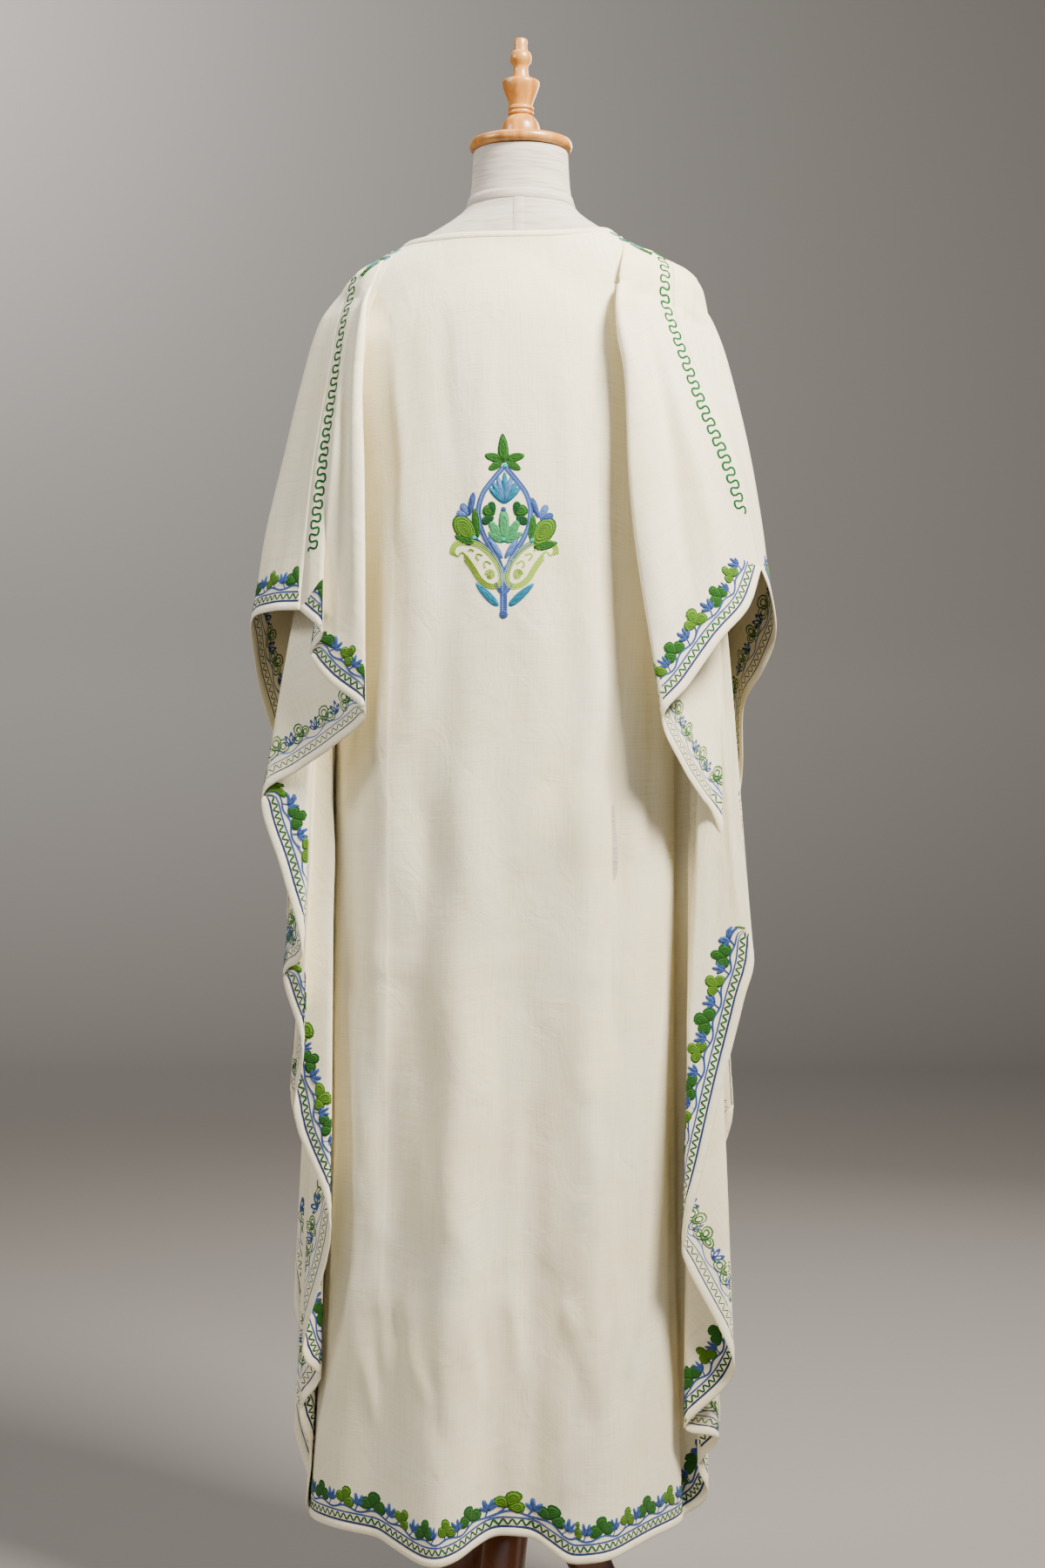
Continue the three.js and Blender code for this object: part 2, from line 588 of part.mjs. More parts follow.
// ---- assembly --------------------------------------------------------------------
const back = { name: 'back', grid: panelGrid('back') };
const front = { name: 'front', grid: panelGrid('front') };
for (const panel of [back, front]) settle(panel.grid);
for (const end of [0, -1]) {
  back.grid.at(end).forEach((point, r) => {
    const shared = point.clone().lerp(front.grid.at(end)[r], 0.5);
    point.copy(shared);
    front.grid.at(end)[r].copy(shared);
  });
}
for (const panel of [back, front]) panel.normals = gridNormals(panel.grid, FACE[panel.name]);
joinShoulders(back, front);

const group = new THREE.Group();
group.position.set(FORM_AXIS.x, FORM_AXIS.y, 0);
group.add(solid('back_panel', wallGeometry(back), IVORY, 0.75));
group.add(solid('front_panel', wallGeometry(front), IVORY, 0.75));
group.add(solid('dress_form', loft(FORM.map(formRing)), LINEN, 0.9));
group.add(solid('neck_cap', turned(CAP_PROFILE, 32), OAK, 0.35));
group.add(solid('finial', turned(FINIAL_PROFILE, 16), OAK, 0.35));

const columnTop = FORM[0].z - GAP;
const columnRows = [[COLUMN_RADIUS, HUB.high + GAP], [COLUMN_RADIUS, columnTop]];
group.add(solid('column', turned(columnRows, 20), STAND_WOOD, 0.45));
const hubRows = [[14, HUB.low], [27, 134], [HUB.radius, 137], [HUB.radius, 196], [26, 214],
  [29, 228], [24, 244], [24, HUB.high]];
group.add(solid('hub', turned(hubRows, 24), STAND_WOOD, 0.45));
for (let i = 0; i < LEG_COUNT; i += 1) {
  const leg = legGeometry(LEG_TURN + 2 * Math.PI * i / LEG_COUNT);
  group.add(solid(`leg_${i + 1}`, leg, STAND_WOOD, 0.45));
}

export default group;
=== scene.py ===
"""An embroidered kaftan on a linen dress form, as a Blender add-on that builds its own scene.

Every length in the tables is in millimetres, measured from the dress form's upright axis.
"""
import math

import bpy
from bpy.props import FloatProperty, FloatVectorProperty, PointerProperty
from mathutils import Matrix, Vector
from mathutils.bvhtree import BVHTree


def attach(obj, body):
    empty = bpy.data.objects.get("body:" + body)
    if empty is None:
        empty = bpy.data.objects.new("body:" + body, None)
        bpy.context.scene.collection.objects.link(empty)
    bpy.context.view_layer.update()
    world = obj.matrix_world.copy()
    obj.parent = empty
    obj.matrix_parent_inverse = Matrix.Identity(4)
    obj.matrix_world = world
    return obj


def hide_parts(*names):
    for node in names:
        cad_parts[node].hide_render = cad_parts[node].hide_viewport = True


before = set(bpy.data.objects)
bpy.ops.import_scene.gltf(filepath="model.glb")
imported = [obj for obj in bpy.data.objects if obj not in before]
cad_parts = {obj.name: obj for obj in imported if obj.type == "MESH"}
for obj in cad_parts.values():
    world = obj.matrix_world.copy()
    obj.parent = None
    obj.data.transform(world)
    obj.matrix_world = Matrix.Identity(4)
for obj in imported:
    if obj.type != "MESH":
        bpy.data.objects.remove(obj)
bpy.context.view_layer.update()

bl_info = {
    "name": "Kaftan on a dress form",
    "version": (1, 0, 0),
    "blender": (4, 5, 0),
    "location": "View3D > Sidebar > Kaftan",
    "description": "Builds an embroidered kaftan on a linen dress form with a wooden stand",
    "category": "Add Mesh",
}

# ---- colours of cloth, wood and thread ----------------------------------------------
IVORY, IVORY_WARM = "#F9F1D3", "#F3E1A4"
LINEN, LINEN_DARK = "#CFC5B8", "#B3A899"
OAK, OAK_DARK = "#C98B3D", "#9A5F22"
# The stand's wood is the honey oak given a darker colour: painted shade for its place low under the
# garment.
OAK_IN_PAINTED_SHADE, OAK_DARK_IN_PAINTED_SHADE = "#7A431A", "#4E270D"
# Each thread on top of its rows, and in the shade between them.
THREADS = {
    "forest": ("#0F4622", "#0F3F1C"), "moss": ("#265F1B", "#27561A"),
    "apple": ("#4E7C1B", "#4C6C18"), "lime": ("#9ABB3A", "#8FAE44"),
    "sea": ("#3A8E56", "#3A8A58"), "teal": ("#1D7292", "#1D6480"),
    "turquoise": ("#16AAA6", "#1F938F"), "vine": ("#3A5694", "#33477F"),
    "sky": ("#5A77B8", "#4C68A4"), "navy": ("#233264", "#2A3766"),
    "stem_green": ("#17662C", "#0A3A18"), "pale_green": ("#3F7834", "#265322"),
}


def linear(hex_colour):
    """The linear colour of an sRGB hex value."""
    channels = [int(hex_colour[i:i + 2], 16) / 255 for i in (1, 3, 5)]
    return tuple(c / 12.92 if c <= 0.04045 else ((c + 0.055) / 1.055) ** 2.4
                 for c in channels) + (1.0,)


# ---- small tools --------------------------------------------------------------------
def lerp(a, b, t):
    return a + (b - a) * t


def clamp01(t):
    return min(1.0, max(0.0, t))


def ease(t):
    t = clamp01(t)
    return t * t * (3 - 2 * t)


def table(columns, rows):
    """Rows of numbers under a line of column names, as named records."""
    names = columns.split()
    return [dict(zip(names, row)) for row in rows]


class Curve:
    """A smooth curve through (place, value) knots that never swings past them."""

    def __init__(self, knots):
        self.knots = sorted(knots)
        rises = [(b[1] - a[1]) / (b[0] - a[0]) for a, b in zip(self.knots, self.knots[1:])]
        inner = [0.0 if a * b <= 0 else 2 * a * b / (a + b) for a, b in zip(rises, rises[1:])]
        self.slopes = [rises[0], *inner, rises[-1]]

    def __call__(self, place):
        knots = self.knots
        if place <= knots[0][0]:
            return knots[0][1]
        if place >= knots[-1][0]:
            return knots[-1][1]
        i = next(n for n in range(len(knots) - 1) if place <= knots[n + 1][0])
        span = knots[i + 1][0] - knots[i][0]
        t = (place - knots[i][0]) / span
        t2, t3 = t * t, t * t * t
        return ((2 * t3 - 3 * t2 + 1) * knots[i][1] + (t3 - 2 * t2 + t) * span * self.slopes[i]
                + (3 * t2 - 2 * t3) * knots[i + 1][1] + (t3 - t2) * span * self.slopes[i + 1])


def curves(rows, place):
    """One smooth curve for each other column of a table."""
    return {name: Curve([(row[place], row[name]) for row in rows])
            for name in rows[0] if name != place}


def place_mm(x, y, z):
    """A point of the tables in the frame's metres."""
    return Vector((x + FORM_AXIS[0], y + FORM_AXIS[1], z)) / 1000


def deselect_all():
    for obj in bpy.context.selected_objects:
        obj.select_set(False)


def make_active(obj):
    deselect_all()
    obj.select_set(True)
    bpy.context.view_layer.objects.active = obj


def mesh_piece(name, points, faces):
    """A new smooth mesh object at the origin from points in the frame's metres."""
    mesh = bpy.data.meshes.new(name)
    mesh.from_pydata([tuple(p) for p in points], [], faces)
    mesh.validate()
    mesh.polygons.foreach_set("use_smooth", [True] * len(mesh.polygons))
    obj = bpy.data.objects.new(name, mesh)
    bpy.context.scene.collection.objects.link(obj)
    return obj


def map_onto(piece, name, places):
    """Gives a mesh a UV map from one place for each of its points."""
    layer = piece.data.uv_layers.new(name=name)
    for loop in piece.data.loops:
        layer.data[loop.index].uv = places[loop.vertex_index]


def face_outwards(piece):
    make_active(piece)
    bpy.ops.object.mode_set(mode="EDIT")
    bpy.ops.mesh.select_all(action="SELECT")
    bpy.ops.mesh.normals_make_consistent(inside=False)
    bpy.ops.object.mode_set(mode="OBJECT")


def band_faces(first, rows, count):
    """Faces of closed bands between rows of points that go round a piece."""
    faces = []
    for r in range(rows):
        for i in range(count):
            a, b = first + r * count + i, first + r * count + (i + 1) % count
            faces.append((a, b, b + count, a + count))
    return faces


def ring_faces(rings, count):
    """Faces between rings of equal count listed from the bottom, with closed ends."""
    top = (rings - 1) * count
    return band_faces(0, rings - 1, count) + [tuple(reversed(range(count))),
                                              tuple(range(top, top + count))]


def lengths_along(points):
    """The distance of each point from the first, along a line of points."""
    lengths = [0.0]
    for a, b in zip(points, points[1:]):
        lengths.append(lengths[-1] + (b - a).length)
    return lengths


def hand_in(obj, slot, *nodes):
    """Lets a piece ride on the body and stand for CAD nodes, which it hides; its slot is not used.
    """
    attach(obj, "root")
    if nodes:
        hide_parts(*nodes)
    return obj


# ---- materials ----------------------------------------------------------------------
def node(tree, kind, values=None, links=None, **settings):
    """Adds a node: its settings, the values of its inputs and what is linked to them."""
    made = tree.nodes.new(kind)
    for name, value in settings.items():
        setattr(made, name, value)
    for name, value in (values or {}).items():
        made.inputs[name].default_value = value
    for name, source in (links or {}).items():
        tree.links.new(source, made.inputs[name])
    return made


def new_material(name, roughness, base="#FFFFFF", **sockets):
    material = bpy.data.materials.new(name)
    material.use_nodes = True
    shader = material.node_tree.nodes["Principled BSDF"]
    shader.inputs["Base Color"].default_value = linear(base)
    shader.inputs["Roughness"].default_value = roughness
    for key, value in sockets.items():
        shader.inputs[key.replace("_", " ")].default_value = value
    return material, material.node_tree, shader


def colour_ramp(tree, factor, stops):
    made = node(tree, "ShaderNodeValToRGB", links={"Fac": factor})
    ramp = made.color_ramp
    ramp.elements[0].position, ramp.elements[0].color = stops[0][0], linear(stops[0][1])
    ramp.elements[1].position, ramp.elements[1].color = stops[-1][0], linear(stops[-1][1])
    for position, colour in stops[1:-1]:
        ramp.elements.new(position).color = linear(colour)
    return made.outputs["Color"]


# ---- the garment and the form: driving sizes and tables ------------------------------
FORM_AXIS = (8, 31)                 # the form's axis seen from the frame's origin
NECK_HALF = 133                     # cloth from the centre line to the neck corner
SEAM_AT = 290                       # cloth from the centre line to the side seam
HALF_WIDTH = 575                    # cloth from the centre line to the side edge
LENGTH = 1400                       # cloth from the shoulder line to the hem
UNDERARM_DOWN = 280                 # cloth from the shoulder line to the underarm
SHOULDER_FROM = 195                 # cloth where the shoulder line starts to fall
YOKE_Z, ARM_Z, CHEST_Z, UNDERARM_Z, HEM_Z = 1450, 1380, 1280, 1190, 128
SIDE = {"left": -1, "right": 1}
FACE = {"back": -1, "front": 1}

# Level rings of the dress form: half width, depth to the back and depth to the front.
FORM = table("z half back front", [
    [770, 151, 104, 92], [820, 156, 109, 96], [900, 160, 114, 98], [960, 156, 110, 97],
    [1040, 142, 97, 93], [1130, 124, 84, 88], [1220, 150, 92, 110], [1280, 164, 97, 122],
    [1340, 180, 98, 112], [1400, 194, 95, 92], [1455, 197, 88, 72], [1480, 193, 83, 64],
    [1498, 184, 79, 60], [1510, 170, 76, 58], [1522, 150, 73, 57], [1532, 130, 71, 56],
    [1548, 102, 67, 56], [1562, 78, 63, 56], [1578, 60, 58, 55], [1600, 54.5, 54.5, 54.5],
    [1640.7, 52, 52, 52],
])
SHOULDER_TIP_Z = 1480
FORM_CURVES = curves(FORM, "z")

# Level rings of the garment's body, from side seam to side seam.
BODY = curves(table("z middle half back front", [
    [1535, -17, 150, 78, 70], [1450, -13, 192, 106, 90], [1380, -11, 199, 114, 112],
    [1280, -9, 192, 119, 136], [1190, -11, 190, 121, 140], [900, -18, 188, 123, 138],
    [500, -21, 192, 128, 140], [128, -27, 206, 134, 146],
]), "z")

# Soft folds of the skirt: cloth from the centre line, width, and reach to the back or front.
SKIRT_FOLDS = {
    "back": table("across width reach", [[-190, 44, 6], [-128, 22, 10], [-58, 30, -20],
                                         [14, 30, 46], [104, 40, -15], [160, 20, 8],
                                         [210, 36, 9]]),
    "front": table("across width reach", [[-150, 40, 12], [-60, 44, -26], [40, 44, 14],
                                          [125, 40, -20], [205, 34, 8]]),
}
SKIRT_FOLD_TOP = 980
HEM = {
    "back": Curve([(-290, 142), (-160, 144), (-114, 141), (-82, 128), (-54, 126), (-26, 135),
                   (-6, 147), (24, 149), (48, 139), (74, 125), (112, 126), (165, 133),
                   (290, 138)]),
    "front": Curve([(-290, 138), (-120, 130), (0, 128), (120, 131), (290, 138)]),
}
NECK_CORNER = {"left": -128, "right": 97}
SHOULDER_BEND = {"left": -183, "right": 150}
RIDGE_Y, RIDGE_LIFT = -8, 2
NECK_PULL = 120                     # the body lines leave the neckline over this drop
NECKLINE = {"back": {"x": -17, "y": -76, "z": 1537, "down": 45},
            "front": {"x": -17, "y": 82, "z": 1480, "down": 110}}
FORM_CLEARANCE, SHOULDER_CLEARANCE, LIFT_WITHIN = 9, 8, 40
LAYER_STEP = 4                      # each further pleat stands this much further out
WING_CLEARANCE = 4                  # between a wing and the body it hangs beside

# Lines of the sleeve pleats: where each passes the yoke, arm and chest heights.
GUIDES = {tuple(row[:3]): dict(zip(("yoke", "arm", "chest"), row[3:])) for row in [
    ["left", "back", "seam", (-164, -66), (-176, -48), (-189, -14)],
    ["left", "back", "outer", (-178, -58), (-198, -44), (-217, -40)],
    ["left", "back", "inner", (-168, -84), (-171, -100), (-167, -118)],
    ["left", "back", "shoulder", (-197, -42), (-207, -64), (-222, -84)],
    ["left", "front", "seam", (-178, 40), (-186, 42), (-190, 14)],
    ["left", "front", "outer", (-190, 36), (-202, 36), (-216, 34)],
    ["left", "front", "inner", (-188, 52), (-196, 74), (-205, 88)],
    ["left", "front", "bulge", (-222, -4), (-241, -8), (-262, -16)],
    ["left", "front", "shoulder", (-197, -42), (-207, -64), (-222, -84)],
    ["right", "back", "seam", (104, -91), (148, -76), (179, -16)],
    ["right", "back", "outer", (120, -90), (164, -72), (206, -44)],
    ["right", "back", "inner", (104, -108), (112, -122), (115, -130)],
    ["right", "back", "shoulder", (168, -62), (192, -80), (233, -90)],
    ["right", "front", "seam", (172, 42), (180, 44), (181, 14)],
    ["right", "front", "outer", (182, 38), (194, 38), (206, 34)],
    ["right", "front", "inner", (180, 54), (186, 76), (196, 90)],
    ["right", "front", "bulge", (212, -8), (234, -12), (255, -20)],
    ["right", "front", "shoulder", (168, -62), (192, -80), (233, -90)],
]}
# The numbers of these lines; a wing's lines lie on them or between two of them.
GUIDE_AT = {"back": [(0, "seam"), (1, "outer"), (2, "inner"), (3, "shoulder")],
            "front": [(0, "seam"), (1, "outer"), (2, "inner"), (2.62, "bulge"), (3, "shoulder")]}

# The free edge of each wing, from the side seam's hem up to the shoulder line. A row is one
# fold: the guide it follows above the chest (as in GUIDE_AT), how far down the cloth it ends,
# and where the edge lies there. The first rows end on the hem, the others on the side edge.
EDGE_COLUMNS = "guide down x y z"
HEM_ROWS = {0: 385, 1: 480}         # cloth across of the rows that end on the hem
EDGES = {
    ("left", "back"): table(EDGE_COLUMNS, [
        [0.06, 1400, -224, -9, 150], [0.12, 1400, -214, -16, 172], [0.18, 1400, -228, -24, 215],
        [0.26, 1290, -241, -34, 262], [0.34, 1200, -217, -44, 300], [0.42, 1080, -236, -57, 332],
        [0.5, 930, -203, -88, 472], [0.6, 800, -243, -66, 585], [0.68, 720, -233, -84, 662],
        [0.76, 640, -256, -62, 738], [0.84, 590, -233, -86, 762], [0.92, 460, -256, -74, 850],
        [1, 345, -279, -62, 930], [1.35, 290, -240, -78, 958], [1.7, 235, -200, -104, 984],
        [2, 185, -163, -132, 1018], [2.4, 115, -204, -112, 1054], [2.6, 80, -224, -96, 1082],
        [2.75, 45, -209, -119, 1104], [3, 0, -235, -98, 1130],
    ]),
    ("left", "front"): table(EDGE_COLUMNS, [
        [0.08, 1400, -236, 7, 150], [0.16, 1400, -226, 14, 170], [0.24, 1400, -246, 20, 206],
        [0.34, 1290, -252, 26, 236], [0.44, 1160, -236, 36, 290], [0.54, 1020, -254, 46, 372],
        [0.64, 880, -230, 58, 480], [0.74, 740, -258, 46, 600], [0.82, 620, -234, 58, 702],
        [0.91, 480, -262, 42, 800], [1, 340, -240, 22, 900], [1.5, 285, -244, 42, 930],
        [2, 235, -264, 34, 966], [2.3, 165, -286, 6, 1040], [2.46, 120, -292, -16, 1082],
        [2.62, 75, -293, -38, 1122], [2.84, 30, -268, -76, 1130], [3, 0, -235, -98, 1130],
    ]),
    ("right", "back"): table(EDGE_COLUMNS, [
        [0.06, 1400, 196, -8, 150], [0.12, 1400, 206, -15, 168], [0.18, 1400, 194, -24, 200],
        [0.27, 1270, 216, -36, 232], [0.36, 1160, 177, -50, 246], [0.45, 1060, 226, -60, 300],
        [0.52, 1010, 225, -74, 336], [0.6, 890, 178, -80, 428], [0.68, 840, 174, -98, 458],
        [0.75, 760, 193, -96, 530], [0.82, 650, 215, -88, 622], [0.9, 540, 238, -84, 712],
        [0.95, 460, 249, -78, 768], [1, 330, 211, -64, 903], [1.4, 275, 192, -84, 932],
        [1.75, 235, 172, -108, 962], [2, 185, 149, -136, 1013], [2.3, 140, 176, -131, 1048],
        [2.6, 85, 212, -120, 1098], [2.8, 40, 242, -104, 1132], [3, 0, 257, -86, 1175],
    ]),
    ("right", "front"): table(EDGE_COLUMNS, [
        [0.08, 1400, 192, 7, 150], [0.16, 1400, 204, 14, 168], [0.24, 1400, 196, 20, 204],
        [0.34, 1280, 222, 27, 236], [0.44, 1150, 204, 36, 290], [0.54, 1020, 232, 46, 366],
        [0.64, 890, 206, 58, 466], [0.74, 750, 238, 46, 580], [0.82, 630, 210, 58, 684],
        [0.91, 480, 244, 44, 780], [1, 320, 216, 26, 880], [1.5, 260, 240, 34, 922],
        [2, 215, 247, 30, 958], [2.3, 140, 246, 2, 1030], [2.46, 102, 264, -22, 1066],
        [2.62, 65, 277, -40, 1104], [2.84, 28, 270, -68, 1146], [3, 0, 257, -86, 1175],
    ]),
}
WRAPS_FROM = 2.4                    # lines past this one wrap over the shoulder tip
ROUND_UNDERARM = 811                # lines that end further down pass round the underarm
SEAM_DEPTH = 0.9                    # a panel's middle at the side seam, from the seam itself
BODY_ACROSS = [0, 18, 36, 54, 72, 100, 118, 128, NECK_HALF, 175, 225, 262]
ROOTS = {"back": Curve([(0, 137), (1, 147), (2, 154), (3, SHOULDER_FROM)]),
         "front": Curve([(0, 137), (1, 147), (2, 154), (2.3, 175), (2.46, 191),
                         (3, SHOULDER_FROM)])}
SEAM_ROOT = 137


# ---- the shape of the cloth ----------------------------------------------------------
def form_size(z, size):
    return FORM_CURVES[size](z)


def ridge_z(x):
    """Height of the form's shoulder ridge at a distance from the axis."""
    i = next(n for n, row in enumerate(FORM)
             if row["z"] > SHOULDER_TIP_Z and row["half"] <= abs(x))
    low, high = FORM[i - 1], FORM[i]
    return lerp(low["z"], high["z"], (abs(x) - low["half"]) / (high["half"] - low["half"]))


def over_form(x, y, z):
    """How far outside of the form's level ring a place is, as a share of the ring's size."""
    depth = form_size(z, "back" if y < 0 else "front")
    return math.hypot(x / form_size(z, "half"), y / depth) - 1


def over_body(x, y, z):
    return math.hypot((x - BODY["middle"](z)) / BODY["half"](z),
                      y / BODY["back" if y < 0 else "front"](z)) - 1


def clear_of(point, clearance, over=over_form):
    """Moves a point straight out of the form or body until it is this far outside."""
    for _ in range(4):
        x, y, z = point
        here = over(x, y, z)
        way = Vector((over(x + 1, y, z) - over(x - 1, y, z), over(x, y + 1, z) - over(x, y - 1, z),
                      over(x, y, z + 1) - over(x, y, z - 1)))
        away = here / (way.length / 2)
        if away >= clearance:
            break
        point = point + way.normalized() * (clearance - away)
    return point


def over_shoulder(point, face, clearance):
    """On the shoulder a line keeps its place across and falls over the form's curve."""
    across = min(abs(point.x) / form_size(point.z, "half"), 1)
    depth = form_size(point.z, "back" if face < 0 else "front") * math.sqrt(1 - across ** 2)
    least = depth + clearance if across < 1 else abs(RIDGE_Y)
    if point.y * face < least:
        point.y = face * least
    return point


def ring(across, z, face):
    """A point of the body's level ring; face is -1 at the back and 1 at the front."""
    turn = min(abs(across) / SEAM_AT, 1) * math.pi / 2
    depth = BODY["back" if face < 0 else "front"](z)
    x = BODY["middle"](z) + math.copysign(BODY["half"](z) * math.sin(turn), across)
    return x, face * max(depth * math.cos(turn), SEAM_DEPTH)


def station(side, panel, guide, level):
    """Where a line that follows a guide passes the yoke, arm or chest height."""
    for (low, before), (high, after) in zip(GUIDE_AT[panel], GUIDE_AT[panel][1:]):
        if guide <= high:
            break
    start, end = GUIDES[side, panel, before][level], GUIDES[side, panel, after][level]
    t = (guide - low) / (high - low)
    return lerp(start[0], end[0], t), lerp(start[1], end[1], t)


def ridge_point(side, across):
    t = (across - NECK_HALF) / (SHOULDER_FROM - NECK_HALF)
    x = lerp(NECK_CORNER[side], SHOULDER_BEND[side], t)
    return Vector((x, RIDGE_Y, ridge_z(x) + RIDGE_LIFT))


def wing_line(side, panel, row, number):
    """One line of a wing from the shoulder to the free edge, and its place in the cloth."""
    root_across = ROOTS[panel](row["guide"])
    across = HEM_ROWS.get(number, HALF_WIDTH)
    root = ridge_point(side, root_across)
    stops = [(z, *station(side, panel, row["guide"], level))
             for level, z in (("yoke", YOKE_Z), ("arm", ARM_Z), ("chest", CHEST_Z))]
    knots = [(root.z, root.x, root.y), *stops, (row["z"], row["x"], row["y"])]
    in_x, in_y = (Curve([(knot[0], knot[k]) for knot in knots]) for k in (1, 2))
    sign = SIDE[side]
    cloth = [(root.z, sign * root_across, 0.0), (row["z"], sign * across, row["down"])]
    if row["down"] > ROUND_UNDERARM:
        cloth.insert(1, (UNDERARM_Z, sign * (SEAM_AT + 2 * (number + 1)),
                         UNDERARM_DOWN - (number + 1)))
    return {"ridge": True, "wraps": row["guide"] > WRAPS_FROM, "guide": row["guide"],
            "top": root.z, "low": row["z"], "cloth": cloth, "at": lambda z: (in_x(z), in_y(z))}


def seam_line(side, panel):
    """The side seam: two free layers down to the underarm, then joined down to the hem."""
    face, sign = FACE[panel], SIDE[side]
    root = ridge_point(side, SEAM_ROOT)
    lines = GUIDES[side, panel, "seam"]
    under = ring(sign * SEAM_AT, UNDERARM_Z, face)
    knots = [(root.z, root.x, root.y), (YOKE_Z, *lines["yoke"]), (ARM_Z, *lines["arm"]),
             (CHEST_Z, *lines["chest"]), (UNDERARM_Z, *under)]
    in_x, in_y = (Curve([(knot[0], knot[k]) for knot in knots]) for k in (1, 2))
    low = HEM[panel](sign * SEAM_AT)
    cloth = [(root.z, sign * SEAM_ROOT, 0.0), (UNDERARM_Z, sign * SEAM_AT, UNDERARM_DOWN),
             (low, sign * SEAM_AT, LENGTH)]
    return {"ridge": True, "wraps": False, "guide": None, "top": root.z, "low": low,
            "cloth": cloth, "at": lambda z: ring(sign * SEAM_AT, z, face) if z < UNDERARM_Z
            else (in_x(z), in_y(z))}


def body_line(side, panel, across):
    """A line of the body, from the neckline or shoulder to the hem."""
    face, sign, neck = FACE[panel], SIDE[side], NECKLINE[panel]
    seam = seam_line(side, panel)
    corner = ridge_point(side, NECK_HALF)
    s = min(across / NECK_HALF, 1)
    bow = math.sqrt(1 - s * s)
    drawn = clamp01((across - NECK_HALF) / (SEAM_AT - NECK_HALF))
    root_across = lerp(NECK_HALF, SEAM_ROOT, drawn)
    if across < NECK_HALF:
        rise = 1 - s ** 3 if panel == "back" else 1 - s * s
        top = Vector((lerp(neck["x"], corner.x, s), lerp(corner.y, neck["y"], bow),
                      lerp(corner.z, neck["z"], rise)))
    else:
        top = ridge_point(side, root_across)

    def plain(z):
        x, y = ring(sign * across, z, face)
        seam_x, seam_y = seam["at"](min(z, seam["top"]))
        ring_x, ring_y = ring(sign * SEAM_AT, z, face)
        fade = ease((SKIRT_FOLD_TOP - z) / (SKIRT_FOLD_TOP - HEM_Z))
        folds = sum(fold["reach"] * math.exp(-((sign * across - fold["across"])
                                               / fold["width"]) ** 2)
                    for fold in SKIRT_FOLDS[panel])
        return (x + (seam_x - ring_x) * drawn ** 2,
                y + (seam_y - ring_y) * drawn ** 2 + folds * fade)

    start = plain(top.z)

    def at(z):
        pull = 1 - ease((top.z - z) / NECK_PULL)
        x, y = plain(z)
        return x + (top.x - start[0]) * pull, y + (top.y - start[1]) * pull

    low = HEM[panel](sign * across)
    first = min(across, root_across) if across >= NECK_HALF else across
    cloth = [(top.z, sign * first, neck["down"] * bow),
             (UNDERARM_Z, sign * across, UNDERARM_DOWN + neck["down"] * bow * 0.3),
             (low, sign * across, LENGTH)]
    return {"ridge": across >= NECK_HALF, "wraps": False, "guide": None, "top": top.z,
            "low": low, "cloth": cloth, "at": at}


def panel_lines(panel):
    """All lines of a panel from its left edge to its right edge."""
    def half(side):
        body = [body_line(side, panel, across) for across in BODY_ACROSS[1:]]
        wing = [wing_line(side, panel, row, n) for n, row in enumerate(EDGES[side, panel])]
        return [*body, seam_line(side, panel), *wing]
    return [*reversed(half("left")), body_line("right", panel, 0), *half("right")]


def line_points(line, panel, rows):
    """The points of a line with the place of each in the cloth: x, y, z, across, down."""
    points = []
    for r in range(rows + 1):
        z = lerp(line["top"], line["low"], (r / rows) ** ROW_CROWDING)
        point = Vector((*line["at"](z), z))
        lift = clamp01((line["top"] - z) / LIFT_WITHIN)
        layer = lift * LAYER_STEP * (line["guide"] or 0)
        if r == 0 and line["ridge"]:
            pass
        elif line["wraps"]:
            point = clear_of(point, lerp(RIDGE_LIFT, SHOULDER_CLEARANCE, lift))
        elif z > YOKE_Z:
            point = over_shoulder(point, FACE[panel], SHOULDER_CLEARANCE + layer)
        else:
            point = clear_of(point, FORM_CLEARANCE + layer)
            if line["guide"] is not None and z < UNDERARM_Z:
                drop = clamp01((UNDERARM_Z - z) / LIFT_WITHIN)
                point = clear_of(point, drop * (WING_CLEARANCE + layer), over_body)
        points.append(point)
    lengths = lengths_along(points)
    heights = [p.z for p in points]

    def length_at(z):
        for i in range(rows):
            if heights[i + 1] <= z:
                span = heights[i] - heights[i + 1]
                share = clamp01((heights[i] - z) / max(span, 1e-6))
                return lerp(lengths[i], lengths[i + 1], share)
        return lengths[-1]

    stops = [(length_at(z), across, down) for z, across, down in line["cloth"]]
    stops[0], stops[-1] = (0.0, *stops[0][1:]), (lengths[-1], *stops[-1][1:])
    found = []
    for point, length in zip(points, lengths):
        i = next((n for n in range(len(stops) - 1) if length <= stops[n + 1][0]), len(stops) - 2)
        t = clamp01((length - stops[i][0]) / (stops[i + 1][0] - stops[i][0]))
        found.append((*point, lerp(stops[i][1], stops[i + 1][1], t),
                      lerp(stops[i][2], stops[i + 1][2], t)))
    return found


ROW_CROWDING = 1.3                  # above 1 the rows lie closer near the shoulder
VISUAL_ROWS = 120

